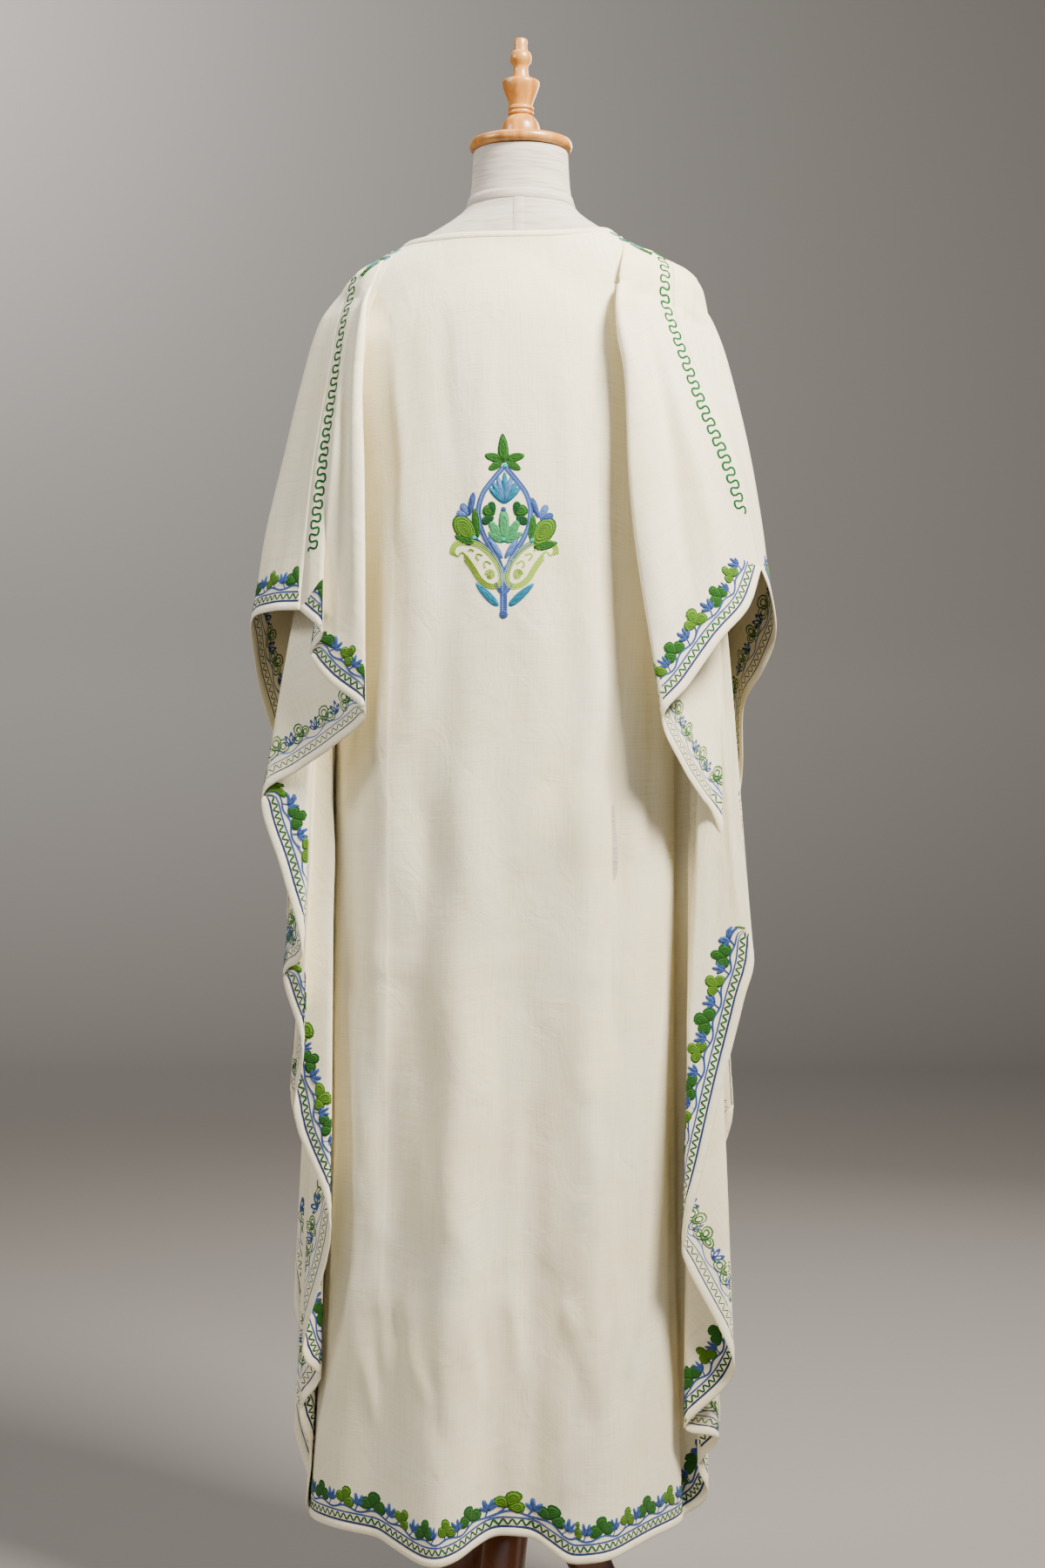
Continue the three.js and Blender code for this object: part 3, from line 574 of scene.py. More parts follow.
# Creases pressed and worn into the cloth: start and end in the cloth, half width, and height
# (a ridge stands out of the right side, a trough is negative).
CREASE_COLUMNS = "across down to_across to_down width height"
CREASES = {
    "back": table(CREASE_COLUMNS, [
        [-132, 170, -150, 1370, 22, 3.4], [-86, 320, -98, 1370, 20, -3.6],
        [-40, 380, -46, 1370, 22, 3.2], [36, 440, 40, 1370, 24, -2.8],
        [86, 220, 92, 1370, 20, 3.6], [128, 330, 140, 1370, 18, -3.4],
        [-190, 742, -60, 752, 5, 1.1], [-70, 752, 60, 746, 5, 1.2], [50, 746, 165, 755, 5, 0.9],
        [-180, 1126, -70, 1142, 6, 1.1], [-75, 1140, 40, 1130, 6, 1.0],
        [40, 1132, 150, 1150, 6, 0.9], [-96, 140, -104, 620, 26, 2.6],
        [-60, 200, -74, 720, 20, -2.2], [30, 220, 34, 760, 26, 2.2], [84, 120, 96, 700, 22, 2.8],
        [120, 240, 128, 900, 16, -2.4], [-140, 180, -150, 640, 16, 2.4],
        [-22, 420, -30, 1100, 26, 2.0], [-120, 640, -128, 1240, 18, -2.6],
        [64, 700, 70, 1260, 20, -2.6], [-166, 700, -176, 1300, 14, 2.2],
        [150, 760, 158, 1330, 14, 2.4], [-48, 760, -40, 1300, 14, 2.4],
        [20, 820, 26, 1340, 12, -1.8], [100, 860, 112, 1360, 13, 2.2],
        [-86, 900, -96, 1350, 12, 2.2], [-140, 1080, -110, 1240, 9, 2.0],
        [-118, 1120, -96, 1200, 6, -1.6], [-160, 1180, -120, 1290, 8, 1.8],
        [-104, 1150, -60, 1240, 7, 1.7], [-70, 1170, -50, 1290, 8, -1.9],
        [-36, 1130, -20, 1260, 8, 2.0], [-10, 1150, -18, 1330, 7, -1.8],
        [12, 1120, 30, 1250, 8, 1.9], [44, 1160, 24, 1290, 7, 1.7], [60, 1100, 96, 1210, 8, 2.1],
        [90, 1130, 70, 1280, 7, -1.8], [118, 1120, 96, 1250, 8, 1.9],
        [136, 1090, 150, 1230, 7, 1.8], [170, 1140, 140, 1260, 8, -1.6],
        [96, 1240, 60, 1340, 8, 1.7], [70, 880, 128, 870, 4, 0.9], [76, 906, 140, 932, 5, -1.1],
        [84, 950, 146, 980, 5, 1.1], [60, 1000, 120, 1040, 5, 1.0],
        [96, 1020, 150, 1010, 4, -0.9], [20, 1060, 80, 1090, 5, 0.9],
        [-190, 980, -150, 1030, 6, 1.3], [-170, 1040, -110, 1060, 5, 1.0],
        [-60, 1010, -30, 1080, 5, 0.9], [-20, 120, -36, 300, 12, 1.2],
        [52, 130, 60, 330, 12, 1.3], [-70, 90, -60, 240, 10, -1.2], [104, 100, 100, 260, 9, 1.5],
        [-118, 110, -122, 300, 9, 1.5], [0, 640, 60, 655, 5, 0.8], [210, 500, 216, 1250, 12, 1.8],
        [-214, 520, -222, 1240, 12, 1.8], [240, 820, 236, 1330, 9, -1.5],
        [-246, 800, -240, 1320, 9, -1.5], [176, 330, 190, 700, 12, -1.6],
        [-180, 330, -192, 660, 12, -1.6],
    ]),
    "front": table(CREASE_COLUMNS, [
        [-134, 300, -150, 1370, 22, 3.2], [-70, 360, -80, 1370, 20, -3.2],
        [4, 400, 0, 1370, 22, 3.0], [72, 340, 80, 1370, 20, -3.0], [138, 320, 150, 1370, 20, 3.2],
        [-180, 745, -40, 752, 5, 1.1], [-40, 752, 90, 746, 5, 1.1], [80, 746, 190, 755, 5, 0.9],
        [-180, 1128, -20, 1140, 6, 1.0], [-20, 1140, 160, 1132, 6, 1.0],
        [-100, 240, -110, 900, 24, 2.4], [-40, 300, -52, 980, 22, -2.2],
        [36, 260, 40, 1000, 24, 2.3], [98, 280, 110, 960, 20, -2.4],
        [150, 320, 158, 1100, 15, 2.0], [-156, 340, -166, 1100, 15, 2.0],
        [-80, 900, -90, 1340, 14, 2.2], [10, 960, 4, 1340, 14, -2.0],
        [70, 940, 82, 1350, 13, 2.2], [-140, 1080, -112, 1230, 9, 1.9],
        [-60, 1120, -30, 1250, 8, 1.8], [30, 1110, 52, 1250, 8, 1.8],
        [110, 1100, 90, 1240, 8, -1.7], [140, 1150, 120, 1290, 8, 1.8],
        [-20, 1180, -36, 1320, 7, -1.6], [-110, 180, -60, 330, 9, 1.6],
        [90, 180, 50, 330, 9, 1.6], [-70, 1010, -20, 1040, 5, 1.0], [60, 1020, 120, 1010, 5, 1.0],
        [212, 520, 218, 1250, 12, 1.7], [-214, 520, -222, 1240, 12, 1.7],
    ]),
}
# Long pulls of the wings from the shoulder to the edge, the same on both sides.
WING_PULLS = table(CREASE_COLUMNS, [
    [162, 4, 575, 158, 10, 3.2], [170, 4, 575, 118, 8, -2.6], [178, 4, 575, 78, 9, 2.8],
    [187, 4, 575, 34, 8, -1.8], [200, 60, 420, 330, 12, 1.3], [190, 110, 470, 620, 14, -1.5],
    [230, 160, 520, 900, 12, 1.4], [300, 330, 520, 1180, 14, -1.5],
    [300, 480, 470, 1320, 12, 1.4], [220, 40, 540, 180, 10, 1.1], [320, 420, 560, 760, 9, 1.0],
    [330, 700, 560, 1010, 9, -1.0], [310, 900, 560, 1240, 9, 1.0], [300, 120, 560, 330, 10, -1.0],
    [340, 1000, 420, 1380, 10, 1.3], [350, 300, 560, 520, 8, 0.9],
])
CREASE_DEPTH, WING_DEPTH = 1.9, 2.0  # how deep the creases of the tables are laid in
CREASE_END = 0.3                    # share of its length over which a crease fades
FORM_LEAST = 2.4                    # the cloth's middle from the form
FORM_FROM = 1150                    # the cloth is kept clear of the form above this
EDGE_FADE = 60                      # creases fade towards the top edge over this drop


def crease_height(creases, across, down):
    """Height of all creases together at a place of the cloth."""
    total = 0.0
    for crease in creases:
        run_u = crease["to_across"] - crease["across"]
        run_v = crease["to_down"] - crease["down"]
        length = math.hypot(run_u, run_v)
        du, dv = across - crease["across"], down - crease["down"]
        along = (du * run_u + dv * run_v) / length
        if not -20 < along < length + 20:
            continue
        aside = (du * run_v - dv * run_u) / length
        # A crease wanders a little instead of running dead straight.
        aside += 0.25 * crease["width"] * math.sin(along / 37 + crease["across"])
        if abs(aside) > 3 * crease["width"]:
            continue
        end = CREASE_END * length
        fade = ease(along / end) * ease((length - along) / end)
        total += crease["height"] * fade * math.exp(-(aside / crease["width"]) ** 2)
    return total


class ClothSurface:
    """The middle of a panel's cloth as a fine grid of columns from the shoulder to the hem."""

    def __init__(self, panel):
        self.face = FACE[panel]
        self.columns = self.between([line_points(line, panel, VISUAL_ROWS)
                                     for line in panel_lines(panel)])
        self.shape(CREASES[panel])

    def between(self, lines):
        """Fills in smooth columns between the lines, closer where the cloth is wider."""
        middle = VISUAL_ROWS // 2
        steps = []
        for a, b in zip(lines, lines[1:]):
            apart = (Vector(a[middle][:3]) - Vector(b[middle][:3])).length
            steps.append(max(3, min(7, round(apart / 5))))
        columns = [[] for _ in range(sum(steps) + 1)]
        last = len(lines) - 1
        for r in range(VISUAL_ROWS + 1):
            row = [line[r] for line in lines]
            places = [0.0]
            for a, b in zip(row, row[1:]):
                places.append(places[-1] + math.sqrt(math.dist(a[:3], b[:3]) + 0.05))
            slopes = []
            for i in range(last + 1):
                a, b = max(i - 1, 0), min(i + 1, last)
                run = places[b] - places[a]
                slopes.append([(row[b][k] - row[a][k]) / run for k in range(5)])
            index = 0
            for i in range(last):
                span = places[i + 1] - places[i]
                for n in range(steps[i]):
                    t = n / steps[i]
                    t2, t3 = t * t, t * t * t
                    h = (2 * t3 - 3 * t2 + 1, (t3 - 2 * t2 + t) * span,
                         3 * t2 - 2 * t3, (t3 - t2) * span)
                    columns[index].append([h[0] * row[i][k] + h[1] * slopes[i][k]
                                           + h[2] * row[i + 1][k] + h[3] * slopes[i + 1][k]
                                           if k < 3 else lerp(row[i][k], row[i + 1][k], t)
                                           for k in range(5)])
                    index += 1
            columns[index].append(list(row[last]))
        return columns

    def shape(self, creases):
        """Lays the creases into the cloth and keeps it clear of the form."""
        points = [[Vector(place[:3]) for place in column] for column in self.columns]
        normals = self.normals(points)
        for c, column in enumerate(self.columns):
            for r, place in enumerate(column):
                across, down = place[3], place[4]
                height = crease_height(creases, across, down) * CREASE_DEPTH
                height += crease_height(WING_PULLS, abs(across), down) * WING_DEPTH
                points[c][r] += normals[c][r] * height * clamp01(down / EDGE_FADE)
                if down > 5 and points[c][r].z > FORM_FROM:
                    points[c][r] = clear_of(points[c][r], FORM_LEAST)
        self.points = points
        self.normal_grid = self.normals(points)

    def normals(self, points):
        """The way out of the cloth's right side at each point of the grid."""
        found = [[Vector() for _ in column] for column in points]
        for c in range(len(points) - 1):
            for r in range(VISUAL_ROWS):
                way = (points[c + 1][r + 1] - points[c][r]).cross(
                    points[c][r + 1] - points[c + 1][r]) * self.face
                way.normalize()
                for i, j in ((c, r), (c + 1, r), (c, r + 1), (c + 1, r + 1)):
                    found[i][j] += way
        return [[way.normalized() for way in column] for column in found]

    def faces(self):
        """Faces between all points, listed column by column."""
        rows = VISUAL_ROWS + 1
        corners = [c * rows + r for c in range(len(self.points) - 1) for r in range(rows - 1)]
        quads = [(a, a + 1, a + rows + 1, a + rows) for a in corners]
        return quads if self.face < 0 else [quad[::-1] for quad in quads]


NECK_HEM = 6.5                      # width of the neckline's turned hem


def cloth_piece(surface, name, thickness):
    """A thin shell of cloth on the surface, with its place in the cloth as the UV map."""
    points = [place_mm(*p) for column in surface.points for p in column]
    piece = mesh_piece(name, points, surface.faces())
    map_onto(piece, "cloth", [(place[3] / 1000, -place[4] / 1000)
                              for column in surface.columns for place in column])
    wall = piece.modifiers.new("wall", "SOLIDIFY")
    wall.thickness = thickness
    wall.offset = 0
    make_active(piece)
    bpy.ops.object.modifier_apply(modifier=wall.name)
    return piece


# ---- charts: places near an edge as (along the edge, in from the edge) ---------------
RIGHT, WRONG = 1, -1                # the right and the wrong side of the cloth
SNAP_REACH = 9                      # how far a layer of cloth is looked for
SAME_WAY = 0.1                      # least cosine between two ways out of one layer


class Ground:
    """The cloth's middle as triangles, for finding the nearest place on one layer."""

    def __init__(self, surface, half):
        self.half = half            # half the cloth's thickness
        self.tree = BVHTree.FromPolygons([p for column in surface.points for p in column],
                                         surface.faces())

    def snap(self, point, way):
        """The nearest place on a layer that faces roughly the same way, and its normal."""
        best = None
        for place, normal, _, distance in self.tree.find_nearest_range(point, SNAP_REACH):
            if normal.dot(way) > SAME_WAY and (best is None or distance < best[2]):
                best = (place, normal, distance)
        if best is None:
            place, normal, _, _ = self.tree.find_nearest(point)
            if normal.dot(way) < 0:
                normal = way
            return place, normal
        return best[0], best[1]


def evenly(points, step):
    """Points at an even spacing along a line of points."""
    lengths = lengths_along(points)
    count = max(int(round(lengths[-1] / step)), 1)
    found, i = [], 0
    for n in range(count + 1):
        at = lengths[-1] * n / count
        while i < len(points) - 2 and lengths[i + 1] < at:
            i += 1
        t = (at - lengths[i]) / max(lengths[i + 1] - lengths[i], 1e-9)
        found.append(points[i].lerp(points[i + 1], clamp01(t)))
    return found, lengths[-1] / count


class Chart:
    """Rows of places on the cloth, walked inwards from an edge, with the way out of each."""

    def __init__(self, ground, edge, ways, depth, inward, step=3.0):
        first, self.along = evenly(edge, step)
        self.step, self.turn, self.half = step, inward, ground.half
        rows, normals = [first], []
        current = resample_ways(edge, ways, len(first))
        for _ in range(int(math.ceil(depth / step)) + 1):
            before = rows[-1]
            moved, found, last_into = [], [], Vector((0, 0, 1))
            for i, p in enumerate(before):
                tangent = before[min(i + 1, len(before) - 1)] - before[max(i - 1, 0)]
                way = current[i]
                into = way.cross(tangent)
                if into.length < 1e-6:
                    into = last_into
                into = last_into = into.normalized() * inward
                place, normal = ground.snap(p + into * step, way)
                moved.append(place)
                found.append(normal)
            smooth = [moved[max(i - 1, 0)] * 0.25 + moved[i] * 0.5
                      + moved[min(i + 1, len(moved) - 1)] * 0.25 for i in range(len(moved))]
            mended = [ground.snap(p, n)[0] for p, n in zip(smooth, found)]
            rows.append(mended)
            current = [(found[max(i - 1, 0)] + found[i] * 2
                        + found[min(i + 1, len(found) - 1)]).normalized()
                       for i in range(len(found))]
            normals.append(current)
        self.rows = rows
        self.normals = [normals[0], *normals]
        self.length = self.along * (len(first) - 1)

    def at(self, s, d, out):
        """A place this far along and in, and this far out of the cloth's middle."""
        a, u = clamp_index(s / self.along, len(self.rows[0]) - 1)
        b, v = clamp_index(d / self.step, len(self.rows) - 1)

        def blend(grid):
            return (grid[b][a].lerp(grid[b][a + 1], u)).lerp(
                grid[b + 1][a].lerp(grid[b + 1][a + 1], u), v)
        place = blend(self.rows)
        if d < 0:                   # outside the edge: carry on in the same direction
            place = place + (self.rows[0][a] - self.rows[1][a]).normalized() * -d
        return place + blend(self.normals).normalized() * out


def clamp_index(value, last):
    """The row below a value and how far it is towards the next row."""
    low = min(max(int(math.floor(value)), 0), last - 1)
    return low, clamp01(value - low)


def resample_ways(edge, ways, count):
    """Directions at an even spacing along an edge."""
    lengths = lengths_along(edge)
    found, i = [], 0
    for n in range(count):
        at = lengths[-1] * n / (count - 1)
        while i < len(edge) - 2 and lengths[i + 1] < at:
            i += 1
        found.append(ways[i].lerp(ways[i + 1], 0.5).normalized())
    return found


class Facing:
    """The back of the garment seen straight on, as (across, up) from a given place."""

    turn = RIGHT

    def __init__(self, ground, across, up):
        self.ground, self.across, self.up, self.half = ground, across, up, ground.half

    def at(self, s, d, out):
        start = Vector((self.across + s, -400, self.up + d))
        place, normal, _, _ = self.ground.tree.ray_cast(start, Vector((0, 1, 0)))
        if place is None:
            raise RuntimeError("the motif reaches past the cloth")
        return place + normal * out


# ---- stitched shapes -----------------------------------------------------------------
SEAT = 0.35                         # stitches are rooted inside the cloth's thickness
# A petal from its rim inwards: share of its size, and out of the cloth's middle.
PETAL_SECTION, PETAL_MIDDLE = ((1.0, SEAT), (0.84, 1.25), (0.45, 1.5)), 1.45


class Stitching:
    """Gathers stitched shapes into one mesh. The thread map is in millimetres of stitch."""

    def __init__(self):
        self.points, self.faces, self.threads, self.maps = [], [], [], []

    def add(self, points, faces, threads, maps, side=RIGHT):
        base = len(self.points)
        self.points += [place_mm(*p) for p in points]
        for face, thread in zip(faces, threads):
            face = face if side == RIGHT else face[::-1]
            self.faces.append(tuple(base + i for i in face))
            self.threads.append(thread)
        self.maps += maps

    def build(self, name):
        piece = mesh_piece(name, self.points, self.faces)
        used = sorted(set(self.threads))
        for thread in used:
            piece.data.materials.append(thread_material(thread))
        piece.data.polygons.foreach_set("material_index",
                                        [used.index(thread) for thread in self.threads])
        map_onto(piece, "thread", self.maps)
        return piece


def ribbon(stitching, chart, path, width, thread, side=RIGHT, rise=0.75):
    """A row of chain stitch along a path on the chart."""
    points, maps, run = [], [], 0.0
    for i, (s, d) in enumerate(path):
        before, after = path[max(i - 1, 0)], path[min(i + 1, len(path) - 1)]
        run += math.dist(path[i], path[i - 1]) if i else 0.0
        turn = math.hypot(after[0] - before[0], after[1] - before[1]) or 1.0
        ns, nd = (after[1] - before[1]) / turn, -(after[0] - before[0]) / turn
        for place, out in ((0.5, SEAT), (0.0, chart.half + rise), (-0.5, SEAT)):
            points.append(chart.at(s + ns * place * width, d + nd * place * width, out * side))
            maps.append((place * width + 10, run))
    faces = []
    for a in range(0, 3 * len(path) - 3, 3):
        faces += [(a + 3, a + 4, a + 1, a), (a + 4, a + 5, a + 2, a + 1)]
    stitching.add(points, faces, [thread] * len(faces), maps, side * chart.turn)


def petal_outline(length, width, fat, sides):
    """A petal from its root to its tip: fat above 0 is broad near the tip, below 0 pointed."""
    outline = []
    for i in range(sides):
        t = 2 * math.pi * i / sides
        u = 0.5 - 0.5 * math.cos(t)
        outline.append((length * u, -width / 2 * math.sin(t) * (1 + fat * (2 * u - 1))))
    return outline


def shrunk(root, angle, outline, scale):
    """A petal's outline in the chart, turned to its angle and shrunk towards its middle."""
    cos, sin = math.cos(math.radians(angle)), math.sin(math.radians(angle))
    middle = max(a for a, _ in outline) / 2
    for a, b in outline:
        a, b = lerp(middle, a, scale), b * scale
        yield root[0] + a * cos - b * sin, root[1] + a * sin + b * cos


def petal(stitching, chart, root, angle, size, threads, fat=0.25, sides=12):
    """A petal filled with chain stitch that runs round and round towards its middle."""
    width = size[1]
    outline = petal_outline(*size, fat, sides)
    points, maps = [], []
    for scale, out in PETAL_SECTION:
        for i, (s, d) in enumerate(shrunk(root, angle, outline, scale)):
            points.append(chart.at(s, d, out))
            maps.append((scale * width / 2, i * width * 2.6 / sides))
    points.append(chart.at(*next(shrunk(root, angle, outline, 0.0)), PETAL_MIDDLE))
    maps.append((0.0, 0.0))
    faces = band_faces(0, 2, sides)
    faces += [(2 * sides + i, 2 * sides + (i + 1) % sides, 3 * sides) for i in range(sides)]
    used = [threads[0]] * sides + [threads[-1]] * 2 * sides
    stitching.add(points, faces, used, maps, chart.turn)


def petal_loops(stitching, chart, root, angle, size, thread, fat=0.25, loops=(1.0, 0.55)):
    """The same petal seen from the wrong side: thin loops of thread inside each other."""
    sides = 10
    outline = petal_outline(*size, fat, sides)
    for loop in loops:
        points, maps = [], []
        for shrink in (0.0, 1.3):
            scale = max(loop - shrink * 2 / size[1], 0.05)
            for i, (s, d) in enumerate(shrunk(root, angle, outline, scale)):
                points.append(chart.at(s, d, -chart.half - 0.25))
                maps.append((shrink, i * 2.2))
        stitching.add(points, band_faces(0, 1, sides), [thread] * sides, maps, -chart.turn)


# ---- the border that follows every free edge -----------------------------------------
# Rows of the border: depth from the edge, width and thread.
BORDER_ROWS = table("depth width thread", [[9.4, 2.8, "navy"], [19.2, 2.4, "vine"]])
ZIGZAG = {"depth": 14.4, "reach": 2.6, "period": 8.6, "width": 2.5}
VINE_ROW = {"depth": 24.0, "reach": 2.1, "width": 2.9}
LEAF_ROOT, SPRIG_ROOT = 29.0, 28.0  # from the edge
RISE = {RIGHT: 0.75, WRONG: 0.35}    # how far rows of stitch stand out of the cloth
# The two leaves of a repeat: place in it, lean, petals (angle, length and width) and threads.
LEAVES = [
    {"place": 0.10, "lean": 0, "petals": ((90, 18, 14), (20, 16, 14), (160, 16, 14)),
     "threads": ("forest", "moss")},
    {"place": 0.60, "lean": -20, "petals": ((92, 19, 12), (30, 14, 12), (152, 14, 11)),
     "threads": ("moss", "apple")},
]
SPRIGS = [0.36, 0.86]
SPRIG_PETALS = ((70, 14, 4.4), (106, 15, 4.6), (38, 11, 4.0), (138, 11, 4.0))
LEAF_FAT, SPRIG_FAT = 0.38, 0.2


def border(stitching, leaves, chart, repeat):
    """The whole border on both sides of the cloth: two lines, a zigzag, a vine and leaves."""
    length = chart.length
    count = max(round(length / repeat), 1)
    repeat = length / count
    for side, rise in RISE.items():
        thin = 1.0 if side == RIGHT else 0.7
        steps = int(length / 4)
        for row in BORDER_ROWS:
            path = [(length * i / steps, row["depth"]) for i in range(steps + 1)]
            ribbon(stitching, chart, path, row["width"] * thin, row["thread"], side, rise=rise)
        waves = round(length / ZIGZAG["period"])
        per_wave = 8 if side == RIGHT else 6
        path = [(length * i / (waves * per_wave), ZIGZAG["depth"] + ZIGZAG["reach"]
                 * math.sin(2 * math.pi * i / per_wave)) for i in range(waves * per_wave + 1)]
        ribbon(stitching, chart, path, ZIGZAG["width"] * thin, "stem_green", side, rise=rise)
        steps = int(length / 3.2)
        path = [(length * i / steps, vine_depth(length * i / steps, repeat))
                for i in range(steps + 1)]
        ribbon(stitching, chart, path, VINE_ROW["width"] * thin,
               "sky" if side == WRONG else "vine", side, rise=rise)
    for k in range(count):
        # Hand work: no two leaves are quite the same size, place or lean.
        sway = math.sin(k * 2.4)
        for leaf in LEAVES:
            s = (k + leaf["place"] + 0.02 * sway) * repeat
            size = 1 + 0.06 * math.sin(k * 1.7 + leaf["place"] * 9)
            lean = leaf["lean"] + 6 * sway
            stem = [(s - 9, vine_depth(s - 9, repeat)), (s - 4, 26.5), (s, LEAF_ROOT + 4)]
            ribbon(stitching, chart, stem, 2.4, "vine")
            ribbon(stitching, chart, stem, 1.4, "sky", WRONG, rise=RISE[WRONG])
            for angle, long, wide in leaf["petals"]:
                place = ((s, LEAF_ROOT), angle + lean, (long * size, wide * size))
                petal(leaves, chart, *place, leaf["threads"], LEAF_FAT)
                petal_loops(leaves, chart, *place, "pale_green", LEAF_FAT)
        for place in SPRIGS:
            s = (k + place - 0.015 * sway) * repeat
            stem = [(s - 4, vine_depth(s - 4, repeat)), (s, SPRIG_ROOT + 2)]
            ribbon(stitching, chart, stem, 2.2, "vine")
            for angle, *size in SPRIG_PETALS:
                place = ((s, SPRIG_ROOT), angle + 8 * sway, size)
                petal(leaves, chart, *place, ("vine",), SPRIG_FAT, sides=8)
                petal_loops(leaves, chart, *place, "vine", SPRIG_FAT, loops=(1.0,))


def vine_depth(s, repeat):
    """How deep in from the edge the vine runs at a place along it."""
    return VINE_ROW["depth"] + VINE_ROW["reach"] * math.sin(4 * math.pi * s / repeat)


def turned_hem(name, chart, width):
    """A narrow hem turned over the cloth's edge: one closed band round the edge."""
    lift = chart.half
    section = [(width, lift + 0.1), (width - 0.6, lift + 0.7), (1.2, lift + 0.7), (-0.4, lift),
               (-0.9, 0.0), (-0.4, -lift), (1.2, -lift - 0.7), (width - 0.6, -lift - 0.7),
               (width, -lift - 0.1)]
    steps = int(chart.length / 4)
    points, flat = [], []
    for i in range(steps + 1):
        s = chart.length * i / steps
        for k, (d, out) in enumerate(section):
            points.append(place_mm(*chart.at(s, d, out)))
            flat.append((s / 1000, (k * 3 + d) / 1000))
    faces = ring_faces(steps + 1, len(section))
    if chart.turn == WRONG:
        faces = [face[::-1] for face in faces]
    piece = mesh_piece(name, points, faces)
    map_onto(piece, "cloth", flat)
    return piece


# ---- the flower on the back ----------------------------------------------------------
MOTIF_AT = (-18.0, 1119.0)          # the foot of the flower's stem, across and up
PETAL_COLUMNS = "across up angle long wide fat rim middle"
MOTIF_PETALS = table(PETAL_COLUMNS, [
    # the bloom at the top
    [-1, 168, 168, 20, 10, -0.1, "moss", "moss"], [3, 168, 12, 20, 10, -0.1, "moss", "moss"],
    [-1, 166, 212, 18, 9, -0.1, "forest", "moss"], [3, 166, -32, 18, 9, -0.1, "forest", "moss"],
    [0, 163, 92, 33, 12, -0.3, "forest", "moss"],
    # the fan inside the arch
    [1, 120, 132, 25, 6, 0.3, "teal", "teal"], [1, 120, 48, 25, 6, 0.3, "teal", "teal"],
    [1, 120, 118, 28, 6, 0.35, "teal", "teal"], [1, 120, 62, 28, 6, 0.35, "teal", "teal"],
    [1, 120, 104, 31, 6, 0.35, "teal", "sky"], [1, 120, 76, 31, 6, 0.35, "teal", "sky"],
    [1, 120, 90, 35, 6.5, 0.2, "teal", "teal"],
    # two trefoils and the many-lobed flower below the fan
    [-10, 107, 205, 15, 10, 0.2, "forest", "forest"],
    [-11, 108, 98, 16, 9, 0.3, "moss", "forest"], [-9, 109, 150, 15, 13, 0.3, "forest", "moss"],
    [13, 107, -28, 15, 10, 0.2, "forest", "forest"],
    [13, 108, 84, 16, 9, 0.3, "moss", "forest"], [11, 109, 28, 16, 13, 0.3, "forest", "moss"],
    [1, 80, 148, 21, 9, -0.1, "sea", "sea"], [1, 80, 28, 22, 9, -0.1, "sea", "sea"],
    [1, 79, 124, 30, 10, 0.1, "sea", "sea"], [1, 79, 58, 30, 10, 0.1, "sea", "sea"],
    [1, 79, 92, 37, 12, 0.15, "sea", "sea"],
    # blue leaves at the foot of the arch
    [-1, 62, 122, 29, 7, -0.1, "vine", "sky"], [1, 62, 58, 28, 7, -0.1, "vine", "sky"],
    # big half leaves and sprigs outside the arch
    [-30, 79, 158, 24, 10, -0.2, "forest", "moss"], [-27, 84, 96, 33, 9, 0.1, "moss", "moss"],
    [-30, 80, 127, 36, 22, 0.1, "moss", "apple"], [31, 74, 12, 27, 10, -0.2, "forest", "moss"],
    [29, 80, 86, 30, 9, 0.1, "moss", "moss"], [31, 76, 54, 37, 22, 0.1, "moss", "apple"],
    [-36, 108, 80, 26, 7, 0.15, "vine", "vine"], [-37, 108, 118, 16, 8, 0.3, "vine", "sky"],
    [-37, 108, 160, 14, 8, 0.3, "sky", "sky"], [37, 105, 108, 24, 7, 0.15, "vine", "vine"],
    [38, 105, 62, 17, 8, 0.3, "vine", "sky"], [38, 104, 20, 16, 8, 0.3, "vine", "vine"],
    # the pair of blue-green leaves on the stem
    [-5, 12, 134, 36, 9, -0.25, "teal", "teal"], [5, 12, 42, 37, 9, -0.25, "teal", "teal"],
])
MOTIF_DOTS = table("across up size thread", [
    [2, 161, 6, "turquoise"], [0, 83, 6, "turquoise"], [-31, 85, 6, "turquoise"],
    [30, 82, 6, "turquoise"], [0, 4, 10, "vine"], [0, 115, 6, "vine"],
])
# Lines of the flower: branches from the stem, and the outline of the curling leaf with the
# swirl and the small bows inside it.
MOTIF_BRANCHES = [
    [(-1, 52), (-8, 63), (-18, 74), (-30, 84)], [(1, 52), (9, 62), (18, 72), (30, 80)],
    [(0, 24), (-5, 30), (-9, 37)], [(0, 24), (5, 30), (9, 37)],
]
LEAF_OUTLINE = [
    (45, 70), (48, 66), (51, 68), (52, 72), (49, 77), (42, 79), (33, 78), (24, 74), (15, 66),
    (8, 56), (4.5, 46), (5, 39), (9, 35.5), (16, 36.5), (23, 42), (28, 50), (33, 58), (39, 66),
    (44, 70.5),
]
LEAF_ROWS = 3
LEAF_BOWS = [[(13, 57), (18, 60), (21, 57), (19, 53)], [(22, 66), (27, 68), (29, 65), (26, 61)],
             [(31, 71), (35, 73), (37, 71)]]
